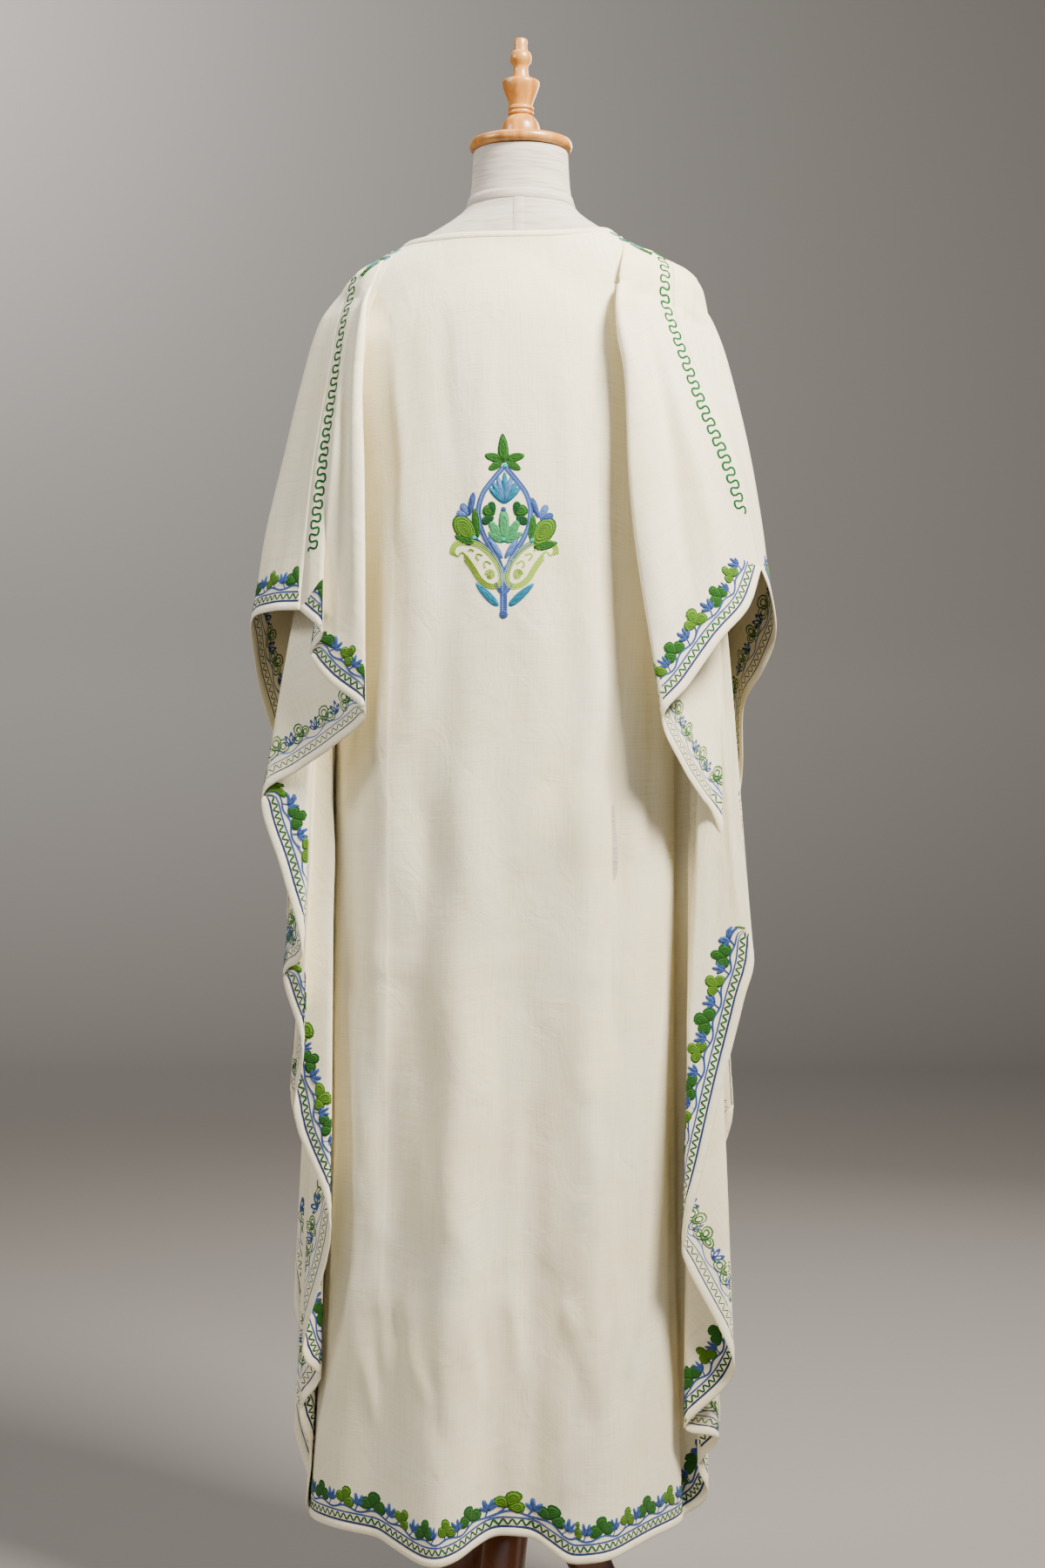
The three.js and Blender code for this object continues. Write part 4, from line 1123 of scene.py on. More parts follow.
# The sprays of the shoulders: where a spray starts on its chart, and how large it is worked.
SPRAY_AT, SPRAY_SIZE = (3, 20), 1.25
SHOULDER_MOTIF = table(PETAL_COLUMNS, [
    [4, 9, 150, 15, 8, 0.1, "teal", "sea"], [4, 9, 95, 14, 9, 0.1, "forest", "moss"],
    [6, 9, 45, 15, 9, 0.1, "forest", "moss"], [12, 6, 10, 17, 7, -0.1, "teal", "turquoise"],
    [16, 12, 60, 13, 7, 0.1, "vine", "sky"], [26, 8, 120, 13, 9, 0.1, "moss", "apple"],
    [28, 7, 40, 14, 8, 0.1, "forest", "moss"], [38, 9, 100, 13, 6, 0.1, "vine", "sky"],
    [40, 6, 20, 15, 6, -0.1, "teal", "sea"],
])


def petal_place(row, at=(0, 0), size=1.0):
    """What petal() needs from a row of a table of petals, for a flower moved and enlarged."""
    return ((row["across"] + at[0], row["up"] + at[1]), row["angle"],
            (size * row["long"], size * row["wide"]), (row["rim"], row["middle"]), row["fat"])


def arch_path(mirror):
    """Half of the pointed arch round the flower, from its tip to where the halves meet."""
    width = Curve([(50, 2.6), (60, 6), (72, 13), (86, 21), (100, 26), (114, 27.5), (130, 23.5),
                   (146, 12.5), (159, 1.5)])
    heights = [lerp(160, 48, i / 40) for i in range(41)]
    return [(1 + mirror * width(z), z) for z in heights]


def smooth_path(points, per=5):
    """A smooth path through the points of a table."""
    path = []
    for i in range(len(points) - 1):
        a, b = points[max(i - 1, 0)], points[i]
        c, d = points[i + 1], points[min(i + 2, len(points) - 1)]
        for n in range(per):
            t = n / per
            path.append(tuple(0.5 * (2 * b[k] + (c[k] - a[k]) * t
                                     + (2 * a[k] - 5 * b[k] + 4 * c[k] - d[k]) * t * t
                                     + (3 * b[k] - a[k] - 3 * c[k] + d[k]) * t ** 3)
                              for k in range(2)))
    return path + [tuple(points[-1])]


def beside(path, distance):
    """The path moved aside, to the left of its run."""
    moved = []
    for i, (s, d) in enumerate(path):
        before, after = path[max(i - 1, 0)], path[min(i + 1, len(path) - 1)]
        run = math.dist(before, after) or 1.0
        moved.append((s - (after[1] - before[1]) / run * distance,
                      d + (after[0] - before[0]) / run * distance))
    return moved


def stitched_rows(stitching, chart, path, threads, width=2.3, apart=1.9):
    """Rows of chain stitch side by side along a path, one for each thread named."""
    for n, thread in enumerate(threads):
        place = (n - (len(threads) - 1) / 2) * apart
        ribbon(stitching, chart, beside(path, place), width, thread, rise=0.85)


def curling_leaf(stitching, chart, mirror):
    """A lime leaf that curls at its tip, with a swirl and small bows in its open middle."""
    def place(points):
        return [(mirror * x + (1 if mirror > 0 else 0), z) for x, z in points]
    outline = smooth_path(LEAF_OUTLINE)
    inward = -1 if mirror > 0 else 1
    for n in range(LEAF_ROWS):
        row = outline if n == 0 else outline[8 + 2 * n:-2 - 2 * n]
        ribbon(stitching, chart, beside(place(row), inward * 2.1 * n), 2.8, "lime", rise=0.85)
    swirl = [(14 + 5.2 * (1 - i / 34) * math.cos(i * 0.45), 46 + 5.6 * (1 - i / 34)
              * math.sin(i * 0.45)) for i in range(32)]
    ribbon(stitching, chart, place(swirl), 2.5, "lime", rise=0.9)
    for bow in LEAF_BOWS:
        ribbon(stitching, chart, place(smooth_path(bow, 4)), 2.6, "lime", rise=0.8)


def motif(stitching, chart):
    """The flower in its pointed arch, worked in coloured chain stitch."""
    for branch in MOTIF_BRANCHES:
        stitched_rows(stitching, chart, smooth_path(branch), ("vine", "sky"))
    for mirror in (-1, 1):
        stitched_rows(stitching, chart, arch_path(mirror), ("vine", "sky", "vine"))
        curling_leaf(stitching, chart, mirror)
    for row in MOTIF_PETALS:
        petal(stitching, chart, *petal_place(row), sides=16)
    stem = [(0, 54 - 51 * i / 16) for i in range(17)]
    stitched_rows(stitching, chart, stem, ("vine", "sky", "vine", "vine"), 2.5)
    for dot in MOTIF_DOTS:
        petal(stitching, chart, (dot["across"] - dot["size"] / 2, dot["up"]), 0,
              (dot["size"], dot["size"]), (dot["thread"],), 0.0, sides=10)


# The meander of the shoulders: from the shoulder line, how wide it swings and how often, how
# far its turns bulge, and where it starts and ends from the ends of the line.
SQUIGGLE = {"depth": 11, "reach": 5.6, "period": 14.5, "bulge": 2.3, "starts": 10, "ends": 62}


def squiggle(stitching, chart):
    """One meandering row of green chain stitch down the shoulder line."""
    start, end = SQUIGGLE["starts"], chart.length - SQUIGGLE["ends"]
    path = []
    steps = int((end - start) / 1.2)
    for i in range(steps + 1):
        s = start + (end - start) * i / steps
        phase = 2 * math.pi * s / SQUIGGLE["period"]
        wander = 0.8 * math.sin(s / 31)
        path.append((s - SQUIGGLE["bulge"] * math.sin(2 * phase + 0.3 * wander),
                     SQUIGGLE["depth"] + SQUIGGLE["reach"] * math.sin(phase) + wander))
    ribbon(stitching, chart, path, 3.3, "stem_green", rise=0.9)


def thread_material(name):
    """Dull woollen embroidery thread: rows of chain stitch 1.8 mm apart with soft shading."""
    label = f"Wool crewel thread {name}"
    if label in bpy.data.materials:
        return bpy.data.materials[label]
    light, dark = THREADS[name]
    material, tree, shader = new_material(label, 0.78, light, Sheen_Weight=0.06,
                                          Sheen_Roughness=0.5, Specular_IOR_Level=0.15)
    thread_map = node(tree, "ShaderNodeUVMap", uv_map="thread").outputs["UV"]
    # Real rows lie 1.8 mm apart; drawn at 2.4 mm so that they show. A link is 2.4 mm long.
    rows = node(tree, "ShaderNodeTexWave", {"Scale": 0.131, "Distortion": 0.3},
                {"Vector": thread_map}, bands_direction="X")
    links = node(tree, "ShaderNodeTexWave", {"Scale": 0.131, "Distortion": 0.6},
                 {"Vector": thread_map}, bands_direction="Y")
    stitch = node(tree, "ShaderNodeMath", {2: 0.0}, {0: links.outputs["Fac"],
                                                     2: rows.outputs["Fac"]},
                  operation="MULTIPLY_ADD")
    stitch.inputs[1].default_value = 0.45
    place = node(tree, "ShaderNodeTexCoord").outputs["Object"]
    dye = node(tree, "ShaderNodeTexNoise", {"Scale": 55.0, "Detail": 3.0}, {"Vector": place})
    shade = node(tree, "ShaderNodeMath", {}, {0: stitch.outputs[0], 1: dye.outputs["Fac"]},
                 operation="ADD")
    spread = node(tree, "ShaderNodeMapRange", {"From Min": 0.6, "From Max": 1.5},
                  {"Value": shade.outputs[0]})
    colour = colour_ramp(tree, spread.outputs["Result"], [(0.0, dark), (0.85, light)])
    tree.links.new(colour, shader.inputs["Base Color"])
    add_bump(tree, shader, stitch.outputs[0], 0.0007, 0.8)
    return material


# ---- materials of this object --------------------------------------------------------
def scaled_coordinates(tree, source, scale):
    """Coordinates in pattern repeats: a map in metres times repeats per metre."""
    return node(tree, "ShaderNodeMapping", {"Scale": scale}, {"Vector": source}).outputs["Vector"]


def add_bump(tree, shader, height, distance, strength=1.0, under=None):
    links = {"Height": height}
    if under is not None:
        links["Normal"] = under
    bump = node(tree, "ShaderNodeBump", {"Distance": distance, "Strength": strength}, links)
    tree.links.new(bump.outputs["Normal"], shader.inputs["Normal"])
    return bump.outputs["Normal"]


def kaftan_cloth_material():
    """Ivory viscose-cotton: a fine even weave, soft pulls of thread and a faint silky sheen."""
    material, tree, shader = new_material("Woven ivory viscose cotton", 0.62, IVORY,
                                          Sheen_Weight=0.25, Sheen_Roughness=0.4,
                                          Specular_IOR_Level=0.35)
    cloth_map = node(tree, "ShaderNodeUVMap", uv_map="cloth").outputs["UV"]
    # Real threads lie 0.35 mm apart, too fine to show, so the weave is drawn at 1.4 mm.
    across = scaled_coordinates(tree, cloth_map, (714, 714, 1))
    warp = node(tree, "ShaderNodeTexWave", {"Scale": 0.5, "Distortion": 1.2, "Detail": 2.0},
                {"Vector": across}, bands_direction="X")
    weft = node(tree, "ShaderNodeTexWave", {"Scale": 0.5, "Distortion": 1.2, "Detail": 2.0},
                {"Vector": across}, bands_direction="Y")
    weave = node(tree, "ShaderNodeMath", {}, {0: warp.outputs["Fac"], 1: weft.outputs["Fac"]},
                 operation="MULTIPLY")
    # Slubs: thicker threads, long one way and 1 to 2 mm wide, in both directions.
    slub_u = node(tree, "ShaderNodeTexNoise", {"Scale": 1.0, "Detail": 2.0, "Roughness": 0.6},
                  {"Vector": scaled_coordinates(tree, cloth_map, (700, 14, 1))})
    slub_v = node(tree, "ShaderNodeTexNoise", {"Scale": 1.0, "Detail": 2.0, "Roughness": 0.6},
                  {"Vector": scaled_coordinates(tree, cloth_map, (14, 700, 1))})
    slubs = node(tree, "ShaderNodeMath", {}, {0: slub_u.outputs["Fac"], 1: slub_v.outputs["Fac"]},
                 operation="ADD")
    # Wear: crumples 15 to 60 mm across, pressed nearly flat again.
    crumple = node(tree, "ShaderNodeTexNoise", {"Scale": 1.0, "Detail": 4.0, "Roughness": 0.55,
                                                "Distortion": 0.8},
                   {"Vector": scaled_coordinates(tree, cloth_map, (26, 15, 1))})
    tint = node(tree, "ShaderNodeMapRange", {"From Min": 0.7, "From Max": 1.3},
                {"Value": slubs.outputs[0]})
    colour = colour_ramp(tree, tint.outputs["Result"],
                         [(0.0, "#EADFC0"), (0.5, IVORY), (1.0, "#F8F2DC")])
    soft = node(tree, "ShaderNodeTexNoise", {"Scale": 7.0, "Detail": 2.0}, {"Vector": cloth_map})
    warm = node(tree, "ShaderNodeMix", {6: (1, 1, 1, 1)},
                {0: soft.outputs["Fac"], 6: colour}, data_type="RGBA")
    warm.inputs[7].default_value = linear(IVORY_WARM)
    warm_amount = node(tree, "ShaderNodeMapRange", {"From Min": 0.35, "From Max": 0.75,
                                                    "To Max": 0.35}, {"Value": soft.outputs["Fac"]})
    tree.links.new(warm_amount.outputs["Result"], warm.inputs[0])
    tree.links.new(warm.outputs[2], shader.inputs["Base Color"])
    first = add_bump(tree, shader, crumple.outputs["Fac"], 0.0035, 0.55)
    second = add_bump(tree, shader, slubs.outputs[0], 0.0002, 0.6, first)
    add_bump(tree, shader, weave.outputs[0], 0.00025, 0.5, second)
    return material


def linen_material():
    """Plain linen stretched over a form: even squares of thread with darker slubs."""
    material, tree, shader = new_material("Stretched plain linen", 0.88, LINEN,
                                          Sheen_Weight=0.15, Specular_IOR_Level=0.25)
    place = node(tree, "ShaderNodeTexCoord").outputs["Object"]
    # Real threads lie 0.6 mm apart; drawn at 1.5 mm so that the weave shows.
    squares = scaled_coordinates(tree, place, (666, 666, 666))
    up = node(tree, "ShaderNodeTexWave", {"Scale": 0.5, "Distortion": 1.0}, {"Vector": squares},
              bands_direction="Z")
    round_it = node(tree, "ShaderNodeTexWave", {"Scale": 0.5, "Distortion": 1.0},
                    {"Vector": squares}, bands_direction="X")
    weave = node(tree, "ShaderNodeMath", {}, {0: up.outputs["Fac"], 1: round_it.outputs["Fac"]},
                 operation="ADD")
    slub = node(tree, "ShaderNodeTexNoise", {"Scale": 1.0, "Detail": 3.0},
                {"Vector": scaled_coordinates(tree, place, (30, 30, 500))})
    colour = colour_ramp(tree, slub.outputs["Fac"],
                         [(0.25, LINEN_DARK), (0.5, LINEN), (0.8, "#DAD1C5")])
    tree.links.new(colour, shader.inputs["Base Color"])
    add_bump(tree, shader, weave.outputs[0], 0.0003, 0.5)
    return material


def turned_wood_material(name, light, dark, roughness, along_scale):
    """Varnished hardwood: fine dark pores drawn long with the grain, and wide soft figure."""
    material, tree, shader = new_material(name, roughness, light, Coat_Weight=0.35,
                                          Coat_Roughness=0.2)
    place = node(tree, "ShaderNodeTexCoord").outputs["Object"]
    figure = node(tree, "ShaderNodeTexNoise", {"Scale": 1.0, "Detail": 5.0, "Distortion": 0.6},
                  {"Vector": scaled_coordinates(tree, place, (along_scale, along_scale, 9))})
    pores = node(tree, "ShaderNodeTexNoise", {"Scale": 1.0, "Detail": 2.0},
                 {"Vector": scaled_coordinates(tree, place, (900, 900, 45))})
    colour = colour_ramp(tree, figure.outputs["Fac"], [(0.3, dark), (0.55, light), (0.8, dark)])
    dark_pores = node(tree, "ShaderNodeMapRange", {"From Min": 0.62, "From Max": 0.75,
                                                   "To Max": 0.5}, {"Value": pores.outputs["Fac"]})
    mix = node(tree, "ShaderNodeMix", {}, {0: dark_pores.outputs["Result"], 6: colour},
               data_type="RGBA")
    mix.inputs[7].default_value = linear(dark)
    tree.links.new(mix.outputs[2], shader.inputs["Base Color"])
    add_bump(tree, shader, pores.outputs["Fac"], 0.0002, 0.4)
    return material


# ---- dress form and stand ------------------------------------------------------------
CAP_PROFILE = [(0, 1641), (50, 1641), (54, 1641.8), (56.4, 1643.8), (57, 1647), (56.6, 1650),
               (55, 1652.4), (52, 1653.6), (47, 1654.6), (30, 1655), (0, 1655)]
FINIAL_PROFILE = [
    (0, 1655.3), (20, 1655.3), (21, 1657), (21.4, 1661), (21, 1668), (19.4, 1673), (16, 1678),
    (13, 1680.6), (12.5, 1681.4), (14.2, 1682.6), (14.5, 1684), (14.2, 1685.4), (12.6, 1686.5),
    (14.2, 1687.6), (14.5, 1689), (14.2, 1690.4), (12.8, 1691.6), (13, 1693), (14.6, 1698),
    (17, 1704), (19.6, 1711), (21, 1716), (20.6, 1718.4), (19, 1720), (13, 1721.2), (10.5, 1722),
    (8.6, 1727), (8, 1734), (9, 1737.4), (11.5, 1740), (12.2, 1745), (11.2, 1749.6), (9.5, 1752),
    (7.6, 1753.2), (7.2, 1758), (7.6, 1763.4), (6.8, 1765.6), (5, 1766.5), (0, 1766.5),
]
HUB_PROFILE = [(0, 132), (14, 132), (24, 132.8), (28, 134.4), (30.4, 137), (31, 140),
               (31, 192), (30.2, 198), (27, 206), (25.4, 212), (26.4, 217), (29, 224), (29, 230),
               (26.4, 237), (24.2, 243), (23.6, 250), (24, 257), (23.4, 260), (0, 260)]
COLUMN_PROFILE = [(0, 260.3), (19.6, 260.3), (21, 261.6), (21, 768.6), (19.6, 769.7), (0, 769.7)]
LEG = table("reach z tall", [
    [31.3, 165, 56], [49, 147, 54], [65, 112, 50], [83, 71, 44], [104, 42, 36],
    [130, 28, 31], [166, 21, 29], [202, 16, 26], [231, 12, 19], [258, 0, 42],
])
LEG_WIDTH, LEG_TURN = 42, math.radians(-106)  # the first leg points to the garment's back


def turned_piece(name, profile, segments):
    """Turns a profile of (radius, height) round the form's axis with the spin tool."""
    points = [place_mm(r, 0, z) for r, z in profile]
    piece = mesh_piece(name, points, [])
    piece.data.edges.add(len(points) - 1)
    for i, edge in enumerate(piece.data.edges):
        edge.vertices = (i, i + 1)
    make_active(piece)
    bpy.ops.object.mode_set(mode="EDIT")
    bpy.ops.mesh.select_all(action="SELECT")
    bpy.ops.mesh.spin(steps=segments, angle=2 * math.pi, center=place_mm(0, 0, 0),
                      axis=(0, 0, 1))
    bpy.ops.mesh.select_all(action="SELECT")
    bpy.ops.mesh.remove_doubles(threshold=0.00001)
    bpy.ops.object.mode_set(mode="OBJECT")
    face_outwards(piece)
    bpy.ops.object.shade_smooth_by_angle(angle=math.radians(40))
    return piece


def form_ring(z, sides, share=1.0, out=0.0):
    """One level ring of the form, made smaller by a share or larger by a length."""
    half, back, front = (form_size(z, size) * share + out for size in ("half", "back", "front"))
    for i in range(sides):
        turn = 2 * math.pi * i / sides
        depth = front if math.sin(turn) > 0 else back
        yield place_mm(half * math.cos(turn), depth * math.sin(turn), z)


def form_piece(sides=112):
    """The padded form: close level rings, smooth from the hips to the neck."""
    tucks = {770: 0.975, 771.5: 0.99, 775: 1, 1637: 1, 1640: 0.99, 1640.7: 0.975}
    levels = sorted([*tucks, *(lerp(782, 1632, n / 110) for n in range(111))])
    points = [p for z in levels for p in form_ring(z, sides, tucks.get(z, 1))]
    piece = mesh_piece("form_cover", points, ring_faces(len(levels), sides))
    make_active(piece)
    bpy.ops.object.shade_smooth_by_angle(angle=math.radians(50))
    return piece


# Sections of the tapes: (height, out of the form) round the neck, (across, out) down the middle.
TAPE_ROUND = [(1578.5, 0.2), (1579.2, 0.9), (1588.8, 0.9), (1589.5, 0.2)]
TAPE_DOWN = [(-6, 0.1), (-4.4, 0.8), (0, 0.9), (4.4, 0.8), (6, 0.1)]


def tape_piece():
    """The cover's seam tapes: one round the foot of the neck and one down the middle."""
    sides, steps, count = 96, 24, len(TAPE_DOWN)
    points = [p for z, out in TAPE_ROUND for p in form_ring(z, sides, out=out)]
    faces = band_faces(0, len(TAPE_ROUND) - 1, sides)
    for size, face in FACE.items():
        base = len(points)
        for n in range(steps + 1):
            z = lerp(1579, 1500, n / steps)
            for x, out in TAPE_DOWN:
                away = form_size(z, size) * math.sqrt(1 - (x / form_size(z, "half")) ** 2) + out
                points.append(place_mm(x - 2, face * away, z))
        for row in range(steps):
            for i in range(count - 1):
                a = base + row * count + i
                quad = (a, a + count, a + count + 1, a + 1)
                faces.append(quad if face < 0 else quad[::-1])
    return mesh_piece("form_tapes", points, faces)


def leg_piece(name, turn):
    """A leg swept from the hub to its foot, with well rounded corners."""
    smooth = curves(LEG, "reach")
    count, stations = 24, 30
    near, far_end = LEG[0]["reach"], LEG[-1]["reach"]
    out = (math.cos(turn), math.sin(turn))
    rings = []
    for s in range(stations):
        reach = lerp(near, far_end, s / (stations - 1))
        z, tall = smooth["z"](reach), smooth["tall"](reach)
        slope = (smooth["z"](reach + 2) - smooth["z"](reach - 2)) / (
            min(reach + 2, far_end) - max(reach - 2, near))
        # Sections stand upright at the hub, square to the leg along it, and flat at the foot.
        lean = lerp(math.pi / 2, math.atan(slope) + math.pi / 2, ease((reach - near) / 26))
        lean = lerp(0.0, lean, ease((far_end - reach) / 18))
        section = []
        for i in range(count):
            angle = 2 * math.pi * i / count
            # A rounded box: high in the corners, flat on the faces.
            cos, sin = math.cos(angle), math.sin(angle)
            along = math.copysign(abs(cos) ** 0.5, cos) * tall / 2
            side = math.copysign(abs(sin) ** 0.5, sin) * LEG_WIDTH / 2
            far = reach + along * math.cos(lean)
            section.append(place_mm(far * out[0] - side * out[1], far * out[1] + side * out[0],
                                    max(z + along * math.sin(lean), 0.0)))
        rings.append(section)
    rings.reverse()
    piece = mesh_piece(name, [p for section in rings for p in section],
                       ring_faces(stations, count))
    face_outwards(piece)
    bpy.ops.object.shade_smooth_by_angle(angle=math.radians(50))
    return piece


# ---- settings that a user would change -----------------------------------------------
def hex_property(name, description, default):
    return FloatVectorProperty(name=name, description=description, default=linear(default)[:3],
                               size=3, min=0, max=1, subtype="COLOR")


class KaftanSettings(bpy.types.PropertyGroup):
    cloth_thickness: FloatProperty(
        name="Cloth thickness", description="Thickness of the kaftan's cloth",
        default=0.001, min=0.0005, max=0.003, subtype="DISTANCE", unit="LENGTH")
    hem_width: FloatProperty(
        name="Turned hem", description="Width of the plain turned hem outside the border",
        default=0.0078, min=0.004, max=0.02, subtype="DISTANCE", unit="LENGTH")
    repeat: FloatProperty(
        name="Border repeat", description="Length of one repeat of the leaf border",
        default=0.074, min=0.05, max=0.12, subtype="DISTANCE", unit="LENGTH")


class StageSettings(bpy.types.PropertyGroup):
    backdrop: hex_property("Backdrop", "Colour of the paper behind the form", "#A5A19D")
    # The floor's darker colour is painted shade on the same paper, for the dimmer light low down.
    floor: hex_property("Floor", "Colour of the paper on the floor", "#8A8580")


SURFACES = {}


def cloth_surface(panel):
    """The panel's surface, worked out once."""
    if panel not in SURFACES:
        surface = ClothSurface(panel)
        surface.ground = Ground(surface, bpy.context.scene.kaftan.cloth_thickness * 500)
        SURFACES[panel] = surface
    return SURFACES[panel]


CAMERA_AT, LENS = (0.010, -2.719, 0.944), 57.2


class KAFTAN_OT_camera(bpy.types.Operator):
    """Places the camera behind the wearer's back"""
    bl_idname = "kaftan.camera"
    bl_label = "Camera"

    def execute(self, context):
        lens = bpy.data.cameras.new("Camera")
        lens.sensor_fit, lens.sensor_width, lens.lens = "AUTO", 36, LENS
        camera = bpy.data.objects.new("Camera", lens)
        camera.location = CAMERA_AT
        camera.rotation_euler = (math.pi / 2, 0, 0)
        context.scene.collection.objects.link(camera)
        context.scene.camera = camera
        return {"FINISHED"}


class KAFTAN_OT_panels(bpy.types.Operator):
    """Builds the back and front panels of the kaftan"""
    bl_idname = "kaftan.panels"
    bl_label = "Kaftan panels"

    def execute(self, context):
        cloth = kaftan_cloth_material()
        for panel in ("back", "front"):
            piece = cloth_piece(cloth_surface(panel), f"kaftan_{panel}",
                                context.scene.kaftan.cloth_thickness)
            piece.data.materials.append(cloth)
            hand_in(piece, "kaftan_cloth", f"{panel}_panel")
        return {"FINISHED"}


def edge_chart(panel, depth):
    """A chart of the free edge: down one wing, along the hem and up the other wing."""
    surface = cloth_surface(panel)
    return Chart(surface.ground, [column[-1] for column in surface.points],
                 [column[-1] for column in surface.normal_grid], depth, -FACE[panel], 3.5)


def neck_chart(panel):
    """A chart of the neckline between the two neck corners."""
    surface = cloth_surface(panel)
    spots = [c for c, column in enumerate(surface.columns) if abs(column[0][3]) <= NECK_HALF + 1]
    return Chart(surface.ground, [surface.points[c][0] for c in spots],
                 [surface.normal_grid[c][0] for c in spots], 10, FACE[panel])


def shoulder_charts():
    """Charts of the back's shoulder line on each side, from the shoulder to the wing's edge."""
    surface = cloth_surface("back")
    for side, c in (("left", 0), ("right", -1)):
        yield Chart(surface.ground, surface.points[c], surface.normal_grid[c], 30, -SIDE[side])


def ridge_charts():
    """Charts of the back's top edge on each side, from the shoulder line to the neck corner."""
    surface = cloth_surface("back")
    for side in SIDE:
        spots = [c for c, column in enumerate(surface.columns)
                 if NECK_HALF < column[0][3] * SIDE[side] <= SHOULDER_FROM]
        if side == "right":
            spots.reverse()
        yield Chart(surface.ground, [surface.points[c][0] for c in spots],
                    [surface.normal_grid[c][0] for c in spots], 34, SIDE[side])


class KAFTAN_OT_hems(bpy.types.Operator):
    """Turns the narrow hems of the free edges and the neckline"""
    bl_idname = "kaftan.hems"
    bl_label = "Hems"

    def execute(self, context):
        cloth = bpy.data.materials["Woven ivory viscose cotton"]
        width = context.scene.kaftan.hem_width * 1000
        for panel in FACE:
            for name, chart, wide in ((f"hem_{panel}", edge_chart(panel, 14), width),
                                      (f"neck_hem_{panel}", neck_chart(panel), NECK_HEM)):
                piece = turned_hem(name, chart, wide)
                piece.data.materials.append(cloth)
                hand_in(piece, "kaftan_cloth")
        return {"FINISHED"}


class KAFTAN_OT_border(bpy.types.Operator):
    """Works the leaf border along the hem and the wings of both panels"""
    bl_idname = "kaftan.border"
    bl_label = "Embroidered border"

    def execute(self, context):
        for panel in FACE:
            rows, leaves = Stitching(), Stitching()
            border(rows, leaves, edge_chart(panel, 54), context.scene.kaftan.repeat * 1000)
            hand_in(rows.build(f"border_rows_{panel}"), "kaftan_cloth")
            hand_in(leaves.build(f"border_leaves_{panel}"), "kaftan_cloth")
        return {"FINISHED"}


class KAFTAN_OT_motif(bpy.types.Operator):
    """Works the flower on the back and the rows and sprays of the shoulders"""
    bl_idname = "kaftan.motif"
    bl_label = "Back and shoulder embroidery"

    def execute(self, context):
        flower = Stitching()
        motif(flower, Facing(cloth_surface("back").ground, *MOTIF_AT))
        hand_in(flower.build("back_flower"), "kaftan_cloth")
        shoulders = Stitching()
        for chart in shoulder_charts():
            squiggle(shoulders, chart)
        for chart in ridge_charts():
            for row in SHOULDER_MOTIF:
                petal(shoulders, chart, *petal_place(row, SPRAY_AT, SPRAY_SIZE))
        hand_in(shoulders.build("shoulder_stitches"), "kaftan_cloth")
        return {"FINISHED"}


class KAFTAN_OT_sheets(bpy.types.Operator):
    """Looks up by name the pieces that are sewn on each panel"""
    bl_idname = "kaftan.sheets"
    bl_label = "Declare the cloth"

    def execute(self, context):
        sewn = {panel: [f"hem_{panel}", f"neck_hem_{panel}", f"border_rows_{panel}",
                        f"border_leaves_{panel}"] for panel in FACE}
        sewn["back"] += ["back_flower", "shoulder_stitches"]
        for panel, names in sewn.items():
            [bpy.data.objects[name] for name in names]
        return {"FINISHED"}


class KAFTAN_OT_form(bpy.types.Operator):
    """Builds the linen-covered dress form"""
    bl_idname = "kaftan.form"
    bl_label = "Dress form"

    def execute(self, context):
        linen = linen_material()
        for piece, nodes in ((form_piece(), ["dress_form"]), (tape_piece(), [])):
            piece.data.materials.append(linen)
            hand_in(piece, "linen_cover", *nodes)
        return {"FINISHED"}


class KAFTAN_OT_turned_wood(bpy.types.Operator):
    """Turns the neck cap and the finial"""
    bl_idname = "kaftan.turned_wood"
    bl_label = "Cap and finial"

    def execute(self, context):
        oak = turned_wood_material("Varnished honey oak", OAK, OAK_DARK, 0.34, 60)
        for name, profile, cad in (("cap", CAP_PROFILE, "neck_cap"),
                                   ("finial_turning", FINIAL_PROFILE, "finial")):
            piece = turned_piece(name, profile, 64)
            piece.data.materials.append(oak)
            hand_in(piece, "oak", cad)
        return {"FINISHED"}


class KAFTAN_OT_stand(bpy.types.Operator):
    """Builds the column, hub and three legs of the stand"""
    bl_idname = "kaftan.stand"
    bl_label = "Stand"

    def execute(self, context):
        # Painted shade: the stand is the same oak, coloured darker for the shade it stands in.
        wood = turned_wood_material("Oak darkened by painted shade", OAK_IN_PAINTED_SHADE, OAK_DARK_IN_PAINTED_SHADE, 0.42, 40)
        for name, profile, cad in (("stand_column", COLUMN_PROFILE, "column"),
                                   ("stand_hub", HUB_PROFILE, "hub")):
            piece = turned_piece(name, profile, 56)
            piece.data.materials.append(wood)
            hand_in(piece, "stand_wood", cad)
        for i in range(3):
            piece = leg_piece(f"stand_leg_{i + 1}", LEG_TURN + 2 * math.pi * i / 3)
            piece.data.materials.append(wood)
            hand_in(piece, "stand_wood", f"leg_{i + 1}")
        return {"FINISHED"}


# The backdrop paper in metres: where it leaves the floor, its bend, its height and its width.
SWEEP = {"start": 5.5, "radius": 1.6, "steps": 24, "height": 12.0, "reach": 12.0}


